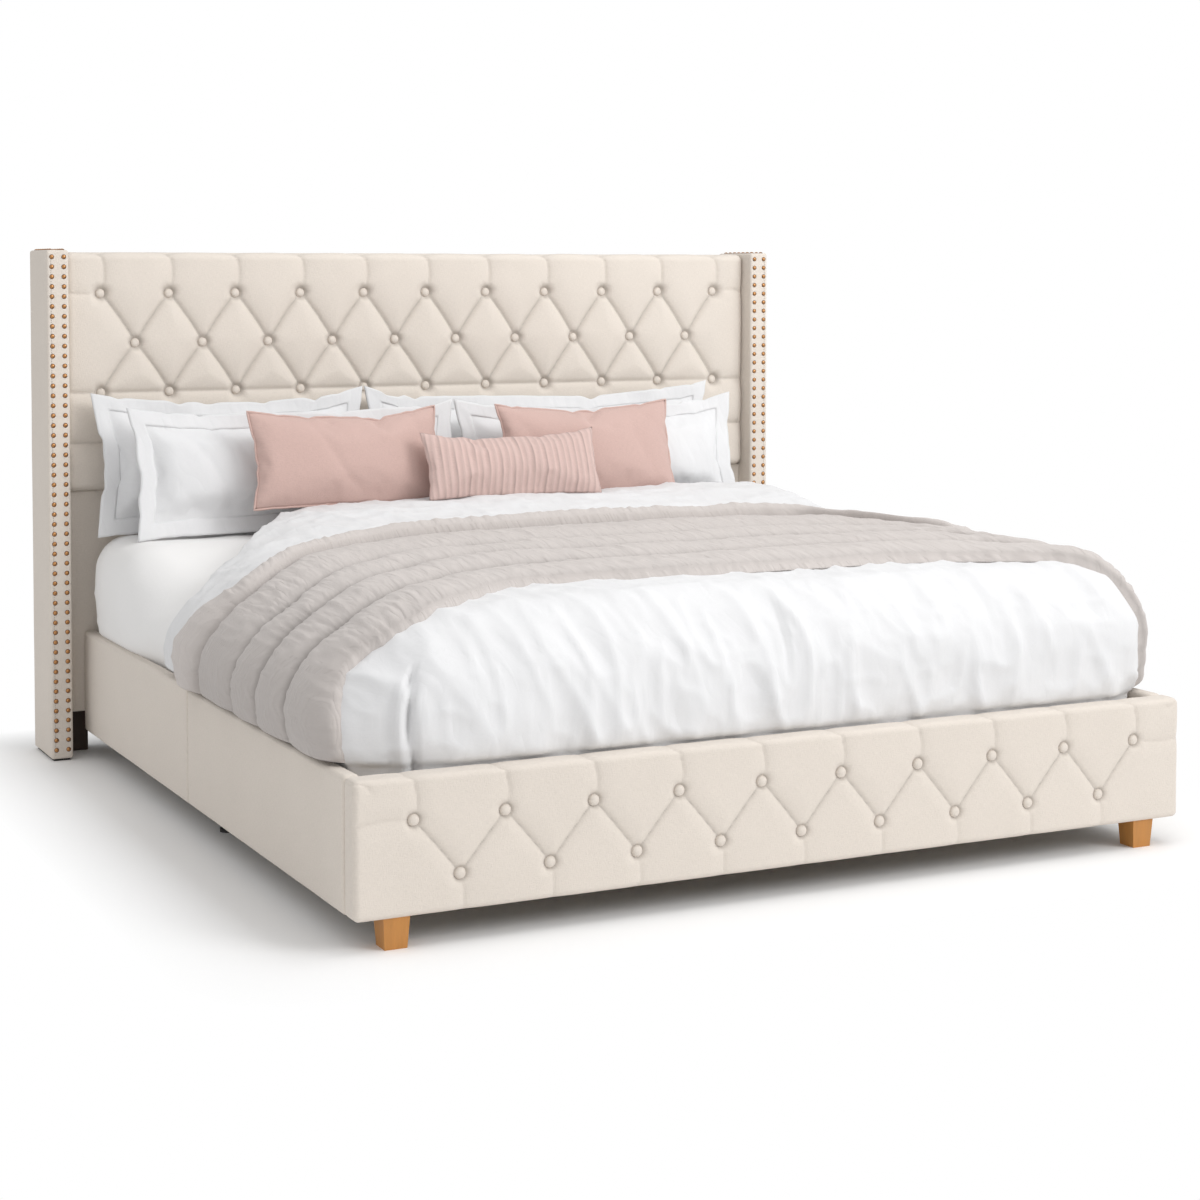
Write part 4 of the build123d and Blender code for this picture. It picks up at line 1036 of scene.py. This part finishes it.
        # Painted shade: the crease mask darkens the quilt's seams and its hanging left side, less at its
        # front edge
        hanging = 0.80 * (1 - smooth_step((s - 0.05) / 0.50)) * channelled
        painted_shade_mask = np.maximum(seam ** 0.35, hanging) * (0.5 + 0.5 * smooth_step(t / 0.02))
        paint_crease_shade(piece, np.concatenate([painted_shade_mask.reshape(-1), np.zeros(len(top))]), 1.0)
        return piece


# Node, lean in degrees, filling's width and height and thickness in metres, kind, and seed
PILLOWS = (
    ("rear_left_pillow", 10, (0.792, 0.400, 0.150), "flanged", 1),
    ("rear_right_pillow", 10, (1.126, 0.400, 0.150), "flanged", 2),
    ("front_left_pillow", 12, (0.948, 0.366, 0.140), "flanged", 3),
    ("front_right_pillow", 12, (0.908, 0.366, 0.140), "flanged", 4),
    ("blush_left_cushion", 14, (0.552, 0.272, 0.112), "piped", 5),
    ("blush_right_cushion", 14, (0.548, 0.272, 0.112), "piped", 6),
    ("lumbar_cushion", 20, (0.528, 0.196, 0.090), "ribbed", 7),
)
PILLOW_CLOTHS = {"flanged": ("white_cotton", "white_cloth"), "piped": ("blush_linen", "blush_cloth"),
                 "ribbed": ("ribbed_cotton", "ribbed_cloth")}
# Metres between the sheets while they are blown up side by side
PILLOW_SPACING = 2.0
# Cut size of the sheets, which draw in as they fill, as a share of the filling's size
SHEET_CUT = 1.05


def share_grid(columns, rows):
    """Places from -1 to 1 across and up a grid."""
    return np.meshgrid(np.linspace(-1, 1, columns), np.linspace(-1, 1, rows), indexing="ij")


def sheet_faces(columns, rows):
    """Grids of a pillow's front and back sheets, which share their rim, and the faces of both."""
    front = np.arange(columns * rows).reshape(columns, rows)
    back = front.copy()
    back[1:-1, 1:-1] = columns * rows + np.arange((columns - 2) * (rows - 2)).reshape(columns - 2, rows - 2)
    return front, back, np.concatenate([index_faces(front), index_faces(back, flip=True)])


def filled_sheets(cell, flange):
    """Blow up every pillow's two sheets of cloth together. Gives each one's front and back grids."""
    points, faces, parts, start = [], [], [], 0
    for number, (_, _, (width, height, thick), kind, seed) in enumerate(PILLOWS):
        edge = 2 * flange if kind == "flanged" else 0
        step = cell * (0.62 if kind == "ribbed" else 1)
        u, v = share_grid(int((width - edge) / step) | 1, int((height - edge) / step) | 1)
        x, z = u * (width - edge) / 2 * SHEET_CUT, v * (height - edge) / 2 * SHEET_CUT
        depth = thick * 0.22 * ((1 - u ** 2) * (1 - v ** 2)) ** 0.5
        lumps = Ripple(40 + seed)(np.stack([x, z, 0 * x], -1), 0.05)
        depth = depth + 0.004 * lumps * (1 - u ** 2) * (1 - v ** 2)
        front_grid, back_grid, quads = sheet_faces(*u.shape)
        x = x + number * PILLOW_SPACING
        front = np.stack([x, -depth, z], -1).reshape(-1, 3)
        back = np.stack([x, depth, z], -1)[1:-1, 1:-1].reshape(-1, 3)
        faces.append(quads + start)
        points += [front, back]
        parts.append((start + front_grid, start + back_grid, (number * PILLOW_SPACING, 0, 0)))
        start += len(front) + len(back)
    cloth = make_piece("pillow_fillings", np.concatenate(points), np.concatenate(faces))
    inflate(cloth)
    blown = point_places(cloth.data)
    bpy.data.objects.remove(cloth)
    return [(blown[front] - offset, blown[back] - offset) for front, back, offset in parts]


def point_places(mesh):
    """Places of a mesh's points."""
    values = np.empty(len(mesh.vertices) * 3)
    mesh.vertices.foreach_get("co", values)
    return values.reshape(-1, 3)


def inflate(cloth, frames=22):
    """Fill closed cloth with air for a few frames, and keep the shape it takes."""
    modifier = cloth.modifiers.new("Cloth", "CLOTH")
    settings = modifier.settings
    settings.quality = 6
    settings.mass = 0.25
    settings.tension_stiffness = settings.compression_stiffness = 14
    settings.shear_stiffness = 6
    settings.bending_stiffness = 0.35
    settings.tension_damping = settings.compression_damping = settings.shear_damping = 8
    settings.air_damping = 4
    settings.use_pressure = True
    settings.uniform_pressure_force = 3.2
    settings.effector_weights.gravity = 0
    modifier.collision_settings.use_collision = False
    modifier.point_cache.frame_start, modifier.point_cache.frame_end = 1, frames
    for number in range(1, frames + 1):
        bpy.context.scene.frame_set(number)
    shaped = point_places(cloth.evaluated_get(bpy.context.evaluated_depsgraph_get()).to_mesh())
    cloth.modifiers.remove(modifier)
    cloth.data.vertices.foreach_set("co", shaped.reshape(-1))
    bpy.context.scene.frame_set(1)


def finer(grid):
    """A grid with twice the cells, on smooth curves through its points."""
    for axis in (0, 1):
        grid = np.moveaxis(grid, axis, 0)
        before = np.concatenate([2 * grid[:1] - grid[1:2], grid[:-2]])
        after = np.concatenate([grid[2:], 2 * grid[-1:] - grid[-2:-1]])
        middle = (9 * (grid[:-1] + grid[1:]) - before - after) / 16
        mixed = np.empty((2 * len(grid) - 1,) + grid.shape[1:])
        mixed[::2], mixed[1::2] = grid, middle
        grid = np.moveaxis(mixed, 0, axis)
    return grid


class BED_OT_pillows(bpy.types.Operator):
    """Fill the pillows and cushions, and finish their edges"""
    bl_idname = "bed.pillows"
    bl_label = "Pillows and cushions"
    # Share by which the blown sheets are drawn back to straight sides, and how much more at the bottom
    straight, straight_below = 0.42, 0.40
    # Shares of the flange's width at its rings, its thickness and its wave, in metres
    flange_shares, flange_thickness, flange_wave = np.linspace(-0.22, 1, 7), 0.0065, 0.006
    welt_radius, welt_turns = 0.0032, 8

    def execute(self, context):
        b = context.scene.bed_bedding
        for pillow, sheets in zip(PILLOWS, filled_sheets(b.pillow_cell, b.flange)):
            self.make_pillow(*pillow, *sheets, b)
        return {"FINISHED"}

    def make_pillow(self, node, lean, size, kind, seed, front, back, b):
        """One pillow from its blown sheets, with its edge, leaned back at its place."""
        edge = 2 * b.flange if kind == "flanged" else 0
        filling = np.array(size) - (edge, edge, 0)
        front, back = self.straighten(finer(front), finer(back), filling)
        ripple = Ripple(60 + seed)
        painted_groove_shade = self.fold_sheets(front, back, filling, size, kind, ripple, b.ribs)
        grid, _, quads = sheet_faces(*front.shape[:2])
        points = np.concatenate([front.reshape(-1, 3), back[1:-1, 1:-1].reshape(-1, 3)])
        pieces = [make_piece(node + "_filled", points, quads)]
        # Painted shade in the grooves between the ribs of the long cushion
        if painted_groove_shade:
            groove_shade_marks = np.concatenate([painted_groove_shade[0].reshape(-1), painted_groove_shade[1][1:-1, 1:-1].reshape(-1)])
            paint_crease_shade(pieces[0], groove_shade_marks, 1.0)
        rim = points[grid_border(grid)[:-1]]
        if kind == "flanged":
            pieces.append(self.flange(node, rim, filling, b.flange, ripple))
        if kind == "piped":
            pieces.append(self.piping(node, rim))
        low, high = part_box(node)
        place = Matrix.Translation((low + high) / 2) @ Matrix.Rotation(math.radians(-lean), 4, "X")
        look, slot = PILLOW_CLOTHS[kind]
        for item in pieces:
            item.data.transform(place)
        finish_piece(pieces[0], look, "bedding", [node])
        for item in pieces[1:]:
            finish_piece(item, look, "bedding")

    def straighten(self, front, back, filling):
        """Draw blown sheets back to straight sides and to the filling's size, round their middle."""
        u, v = share_grid(*front.shape[:2])
        for sheet in (front, back):
            wide, tall = np.abs(sheet[..., 0]).max(), np.abs(sheet[..., 2]).max()
            sheet[..., 0] += self.straight * (u * wide - sheet[..., 0])
            upright = self.straight + self.straight_below * smooth_step(-v)
            sheet[..., 2] += upright * (v * tall - sheet[..., 2])
        both = np.concatenate([front.reshape(-1, 3), back.reshape(-1, 3)])
        middle = (both.max(0) + both.min(0)) / 2
        width, height, thick = filling
        scale = np.array([width, thick * 0.97, height]) / (both.max(0) - both.min(0))
        return (front - middle) * scale, (back - middle) * scale

    def fold_sheets(self, front, back, filling, size, kind, ripple, ribs):
        """Work gathers, soft folds and ribs into both sheets. Gives how deep each place is between ribs, as a
        mask of painted shade.
        """
        u, v = share_grid(*front.shape[:2])
        rim = (1 - np.abs(u) ** 6) * (1 - np.abs(v) ** 6)
        border = np.minimum((1 - np.abs(u)) * filling[0], (1 - np.abs(v)) * filling[1]) / 2
        gentle = 0.10 + 0.90 * smooth_step(border / 0.080) if kind == "flanged" else 1
        near_edge = np.exp(-(1 - np.abs(v)) * size[1] / 0.09) + np.exp(-(1 - np.abs(u)) * size[0] / 0.09)
        painted_groove_shade = []
        for sheet, sign in ((front, -1), (back, 1)):
            gather = 0.0035 * ripple.creases(sheet, (0.030, 0.5, 0.030)) * near_edge
            leaning = sheet + 0.5 * sheet[..., 2:] * np.array(SIDEWAYS)
            folds = 0.0050 * ripple.creases(leaning, (0.10, 0.5, 0.22))
            sheet[..., 1] = sheet[..., 1] * (1 - 0.10 * v) * gentle + sign * rim * (gather + folds - 0.003)
            if kind == "ribbed":
                phase = (u + 1) / 2 * ribs * 2 * math.pi + 0.5 * ripple(sheet, (0.3, 1, 0.06))
                ridge = np.abs(np.cos(phase / 2))
                sheet[..., 1] += sign * rim ** 0.5 * 0.0065 * (ridge - 0.6)
                # Painted shade, deepest in the grooves between ribs
                painted_groove_shade.append(1 - 0.6 * ridge)
        return painted_groove_shade

    def flange(self, node, rim, filling, flange, ripple):
        """The flat double edge of a white pillow, a little wavy."""
        half_width, half_height = filling[0] / 2, filling[1] / 2
        rings = []
        for share in self.flange_shares:
            ring = rim * np.array([(half_width + flange * share) / half_width, 1,
                                   (half_height + flange * share) / half_height])
            ring[:, 1] = rim[:, 1] * (1 - share) + self.flange_wave * max(share, 0) * ripple(ring, 0.07)
            rings.append(ring)
        index = np.arange(len(rings) * len(rim)).reshape(len(rings), len(rim))
        faces = index_faces(np.concatenate([index, index[:, :1]], 1))
        piece = make_piece(node + "_flange", np.concatenate(rings), faces)
        shell = piece.modifiers.new("Thickness", "SOLIDIFY")
        shell.thickness, shell.offset = self.flange_thickness, 0
        return piece

    def piping(self, node, rim):
        """A sewn welt that follows a cushion's seam, as a closed tube."""
        run = unit(np.roll(rim, -1, 0) - np.roll(rim, 1, 0))
        out = unit(np.cross(run, BACKWARD))
        side = np.cross(out, run)
        angles = np.linspace(0, 2 * math.pi, self.welt_turns, endpoint=False)
        tube = np.stack([rim + self.welt_radius * (math.cos(a) * out + math.sin(a) * side)
                         for a in angles], 1)
        index = np.arange(len(rim) * self.welt_turns).reshape(len(rim), self.welt_turns)
        next_ring = np.roll(index, -1, 0)
        faces = np.stack([index, next_ring, np.roll(next_ring, -1, 1), np.roll(index, -1, 1)], -1)
        return make_piece(node + "_piping", tube.reshape(-1, 3), faces.reshape(-1, 4))


class BED_OT_base(bpy.types.Operator):
    """Finish the slats, beam, legs, feet, boards and plates, and drive the bolts"""
    bl_idname = "bed.base"
    bl_label = "Base, feet and fittings"
    wood_edge, steel_edge = 0.0018, 0.0006
    # Part of a node's name, its material and the width of its worn edges; the first that fits is used
    looks = (
        ("back_cover", "lining", 0), ("front_foot", "oak", wood_edge),
        ("headboard_leg", "dark_wood", wood_edge), ("support_leg", "dark_wood", wood_edge),
        ("ledge", "beam_wood", wood_edge), ("slat", "slat_wood", wood_edge),
        ("centre_beam", "beam_wood", wood_edge), ("board", "board", 0),
        ("joiner", "plate_steel", steel_edge), ("bracket", "plate_steel", steel_edge),
        ("saddle", "plate_steel", steel_edge), ("studs", "plate_steel", 0),
        ("levelling", "glide_plastic", 0), ("glide", "glide_plastic", 0),
    )
    bolt_rings = ((0, 0.0048), (0.82, 0.0048), (1.0, 0.0038), (1.0, -0.0004))
    bolt_radius, bolt_sides, plate_thickness = 0.0075, 6, 0.003
    bracket_inset, bracket_rise = 0.032, 0.028
    joiner_shares = (0.12, 0.36, 0.64, 0.88)

    def execute(self, context):
        for name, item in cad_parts.items():
            if item.hide_render:
                continue
            look, edge = self.look_of(name)
            item.data.materials.clear()
            item.data.materials.append(MATERIALS[look])
            if edge:
                bevel = item.modifiers.new("Worn edges", "BEVEL")
                bevel.width, bevel.segments, bevel.limit_method = edge, 2, "ANGLE"
        self.bolts()
        return {"FINISHED"}

    def look_of(self, name):
        """Material and edge width of a node."""
        for part, look, edge in self.looks:
            if part in name:
                return look, edge
        raise ValueError("no look for " + name)

    def bolts(self):
        """Hexagon bolt heads on the brackets and joiner plates, inside the rails."""
        places = []
        low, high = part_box("corner_brackets")
        spots = [(y, z) for y in (low.y + self.bracket_inset, high.y - self.bracket_inset)
                 for z in (low.z + self.bracket_rise, high.z - self.bracket_rise)]
        places += self.both_sides(low.x, high.x, spots)
        low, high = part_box("joiner_plates")
        spots = [(low.y + (high.y - low.y) * share, (low.z + high.z) / 2) for share in self.joiner_shares]
        places += self.both_sides(low.x, high.x, spots)
        points, faces = turned_mesh(self.bolt_radius, self.bolt_rings, self.bolt_sides)
        piece = repeat_mesh("frame_bolt_heads", points, faces, places)
        finish_piece(piece, "plate_steel", "frame")

    def both_sides(self, left, right, spots):
        """Places of bolts on the inner faces of the left and right plates."""
        return [((x - sign * self.plate_thickness, y, z), (-sign, 0, 0), BACKWARD)
                for sign, x in ((-1, left), (1, right)) for y, z in spots]


class BED_OT_stage(bpy.types.Operator):
    """Lay the pale floor and set the soft lamps and the camera"""
    bl_idname = "bed.stage"
    bl_label = "Floor, lamps and camera"
    half_floor, floor_white, floor_roughness, floor_gloss = 30, 0.93, 0.8, 0.1
    # The floor turns from shaded to plain white over this distance from the bed's outline, in metres
    bed_half_size, white_from = (1.13, 1.15, 0), 0.27
    sensor_width = 36
    # Each lamp's name, place, target and side length, in metres
    lamps = (("key_lamp", (7.4, -9.6, 7.2), (0, 0, 0.6), 5.5),
             ("top_lamp", (0.6, -1.4, 3.4), (0, 1.0, 1.15), 2.4))

    def execute(self, context):
        s = context.scene.bed_stage
        self.floor()
        self.sky(context.scene, s.sky)
        for lamp, power in zip(self.lamps, (s.key_power, s.fill_power)):
            self.lamp(*lamp, power)
        self.camera(context.scene, s)
        context.scene.view_settings.view_transform = "Standard"
        return {"FINISHED"}

    def camera(self, scene, s):
        """The camera at the eye, turned and dipped, with its lens shifted."""
        view = bpy.data.cameras.new("photo_view")
        camera = bpy.data.objects.new("photo_view", view)
        scene.collection.objects.link(camera)
        view.sensor_width, view.lens, view.shift_y = self.sensor_width, s.lens, s.rise
        turn, dip = math.radians(s.turn), math.radians(s.dip)
        ahead = Vector((math.sin(turn) * math.cos(dip), math.cos(turn) * math.cos(dip), -math.sin(dip)))
        right = Vector((math.cos(turn), -math.sin(turn), 0))
        camera.matrix_world = Matrix((right, right.cross(ahead), -ahead)).transposed().to_4x4()
        camera.location = s.eye
        scene.camera = camera

    def floor(self):
        """A floor that takes the bed's soft shadow near it and is plain white farther off."""
        half = self.half_floor
        corners = [(-half, -half, 0), (half, -half, 0), (half, half, 0), (-half, half, 0)]
        floor = make_piece("floor", corners, [(0, 1, 2, 3)], smooth=False)
        material = bpy.data.materials.new("pale_floor")
        material.use_nodes = True
        tree = material.node_tree
        surface = tree.nodes["Principled BSDF"]
        surface.inputs["Base Color"].default_value = (*(self.floor_white,) * 3, 1)
        surface.inputs["Roughness"].default_value = self.floor_roughness
        surface.inputs["Specular IOR Level"].default_value = self.floor_gloss
        glow = new_node(tree, "Emission", (("Color", WHITE), ("Strength", 1.0)))
        away = piece_place(tree)
        for operation, inputs in (("ABSOLUTE", ()), ("SUBTRACT", ((1, self.bed_half_size),)),
                                  ("MAXIMUM", ((1, (0, 0, 0)),)), ("LENGTH", ())):
            step = new_node(tree, "VectorMath", ((0, away), *inputs), operation=operation)
            away = step.outputs["Value" if operation == "LENGTH" else "Vector"]
        far = node_range(tree, away, 0.0, self.white_from)
        share = node_math(tree, "MULTIPLY", self.plain_rays(tree), far)
        mixed = new_node(tree, "MixShader", ((0, share), (1, surface.outputs[0]), (2, glow.outputs[0])))
        link(tree, mixed.outputs[0], tree.nodes["Material Output"].inputs["Surface"])
        floor.data.materials.append(material)

    def sky(self, scene, strength):
        """An even light all round, seen as plain white."""
        world = scene.world or bpy.data.worlds.new("Room")
        scene.world = world
        world.use_nodes = True
        tree = world.node_tree
        tree.nodes.clear()
        light = new_node(tree, "Background", (("Color", WHITE), ("Strength", strength)))
        shown = new_node(tree, "Background", (("Color", WHITE),))
        mixed = new_node(tree, "MixShader", ((0, self.plain_rays(tree)), (1, light.outputs[0]),
                                             (2, shown.outputs[0])))
        new_node(tree, "OutputWorld", (("Surface", mixed.outputs[0]),))

    def plain_rays(self, tree):
        """1 for rays from the camera, off glossy surfaces and through clear ones."""
        seen = new_node(tree, "LightPath").outputs
        return node_math(tree, "MAXIMUM", seen["Is Camera Ray"],
                         node_math(tree, "MAXIMUM", seen["Is Glossy Ray"], seen["Is Transmission Ray"]))

    def lamp(self, name, place, target, size, power):
        """A square lamp aimed at a target."""
        data = bpy.data.lights.new(name, "AREA")
        data.energy, data.size = power, size
        lamp = bpy.data.objects.new(name, data)
        bpy.context.scene.collection.objects.link(lamp)
        lamp.location = place
        lamp.rotation_euler = (Vector(target) - Vector(place)).to_track_quat("-Z", "Y").to_euler()


OPERATORS = (BED_OT_finishes, BED_OT_headboard, BED_OT_wings, BED_OT_rails, BED_OT_footboard, BED_OT_mattress,
             BED_OT_duvet, BED_OT_quilt, BED_OT_pillows, BED_OT_base, BED_OT_stage)
GROUPS_OF_VALUES = {"bed_colours": BedColours, "bed_tufts": TuftSizes, "bed_nails": NailSizes,
                    "bed_bedding": BeddingSizes, "bed_stage": StageSizes}


class BED_PT_panel(bpy.types.Panel):
    """The steps that dress the bed, in order"""
    bl_idname = "BED_PT_panel"
    bl_label = "Upholstered Bed"
    bl_space_type = "VIEW_3D"
    bl_region_type = "UI"
    bl_category = "Bed"

    def draw(self, context):
        for step in OPERATORS:
            self.layout.operator(step.bl_idname)
        for group in GROUPS_OF_VALUES:
            values = getattr(context.scene, group)
            box = self.layout.box()
            for name in values.__annotations__:
                box.prop(values, name)


def register():
    """Add the steps, the panel and the scene's values."""
    for group in GROUPS_OF_VALUES.values():
        bpy.utils.register_class(group)
    for step in (*OPERATORS, BED_PT_panel):
        bpy.utils.register_class(step)
    for name, group in GROUPS_OF_VALUES.items():
        setattr(bpy.types.Scene, name, PointerProperty(type=group))


def unregister():
    """Take out what register added."""
    for name in GROUPS_OF_VALUES:
        delattr(bpy.types.Scene, name)
    for step in (BED_PT_panel, *reversed(OPERATORS)):
        bpy.utils.unregister_class(step)
    for group in GROUPS_OF_VALUES.values():
        bpy.utils.unregister_class(group)


def main():
    """Dress the bed step by step."""
    register()
    for step in OPERATORS:
        area, name = step.bl_idname.split(".")
        getattr(getattr(bpy.ops, area), name)()


if __name__ == "__main__":
    main()
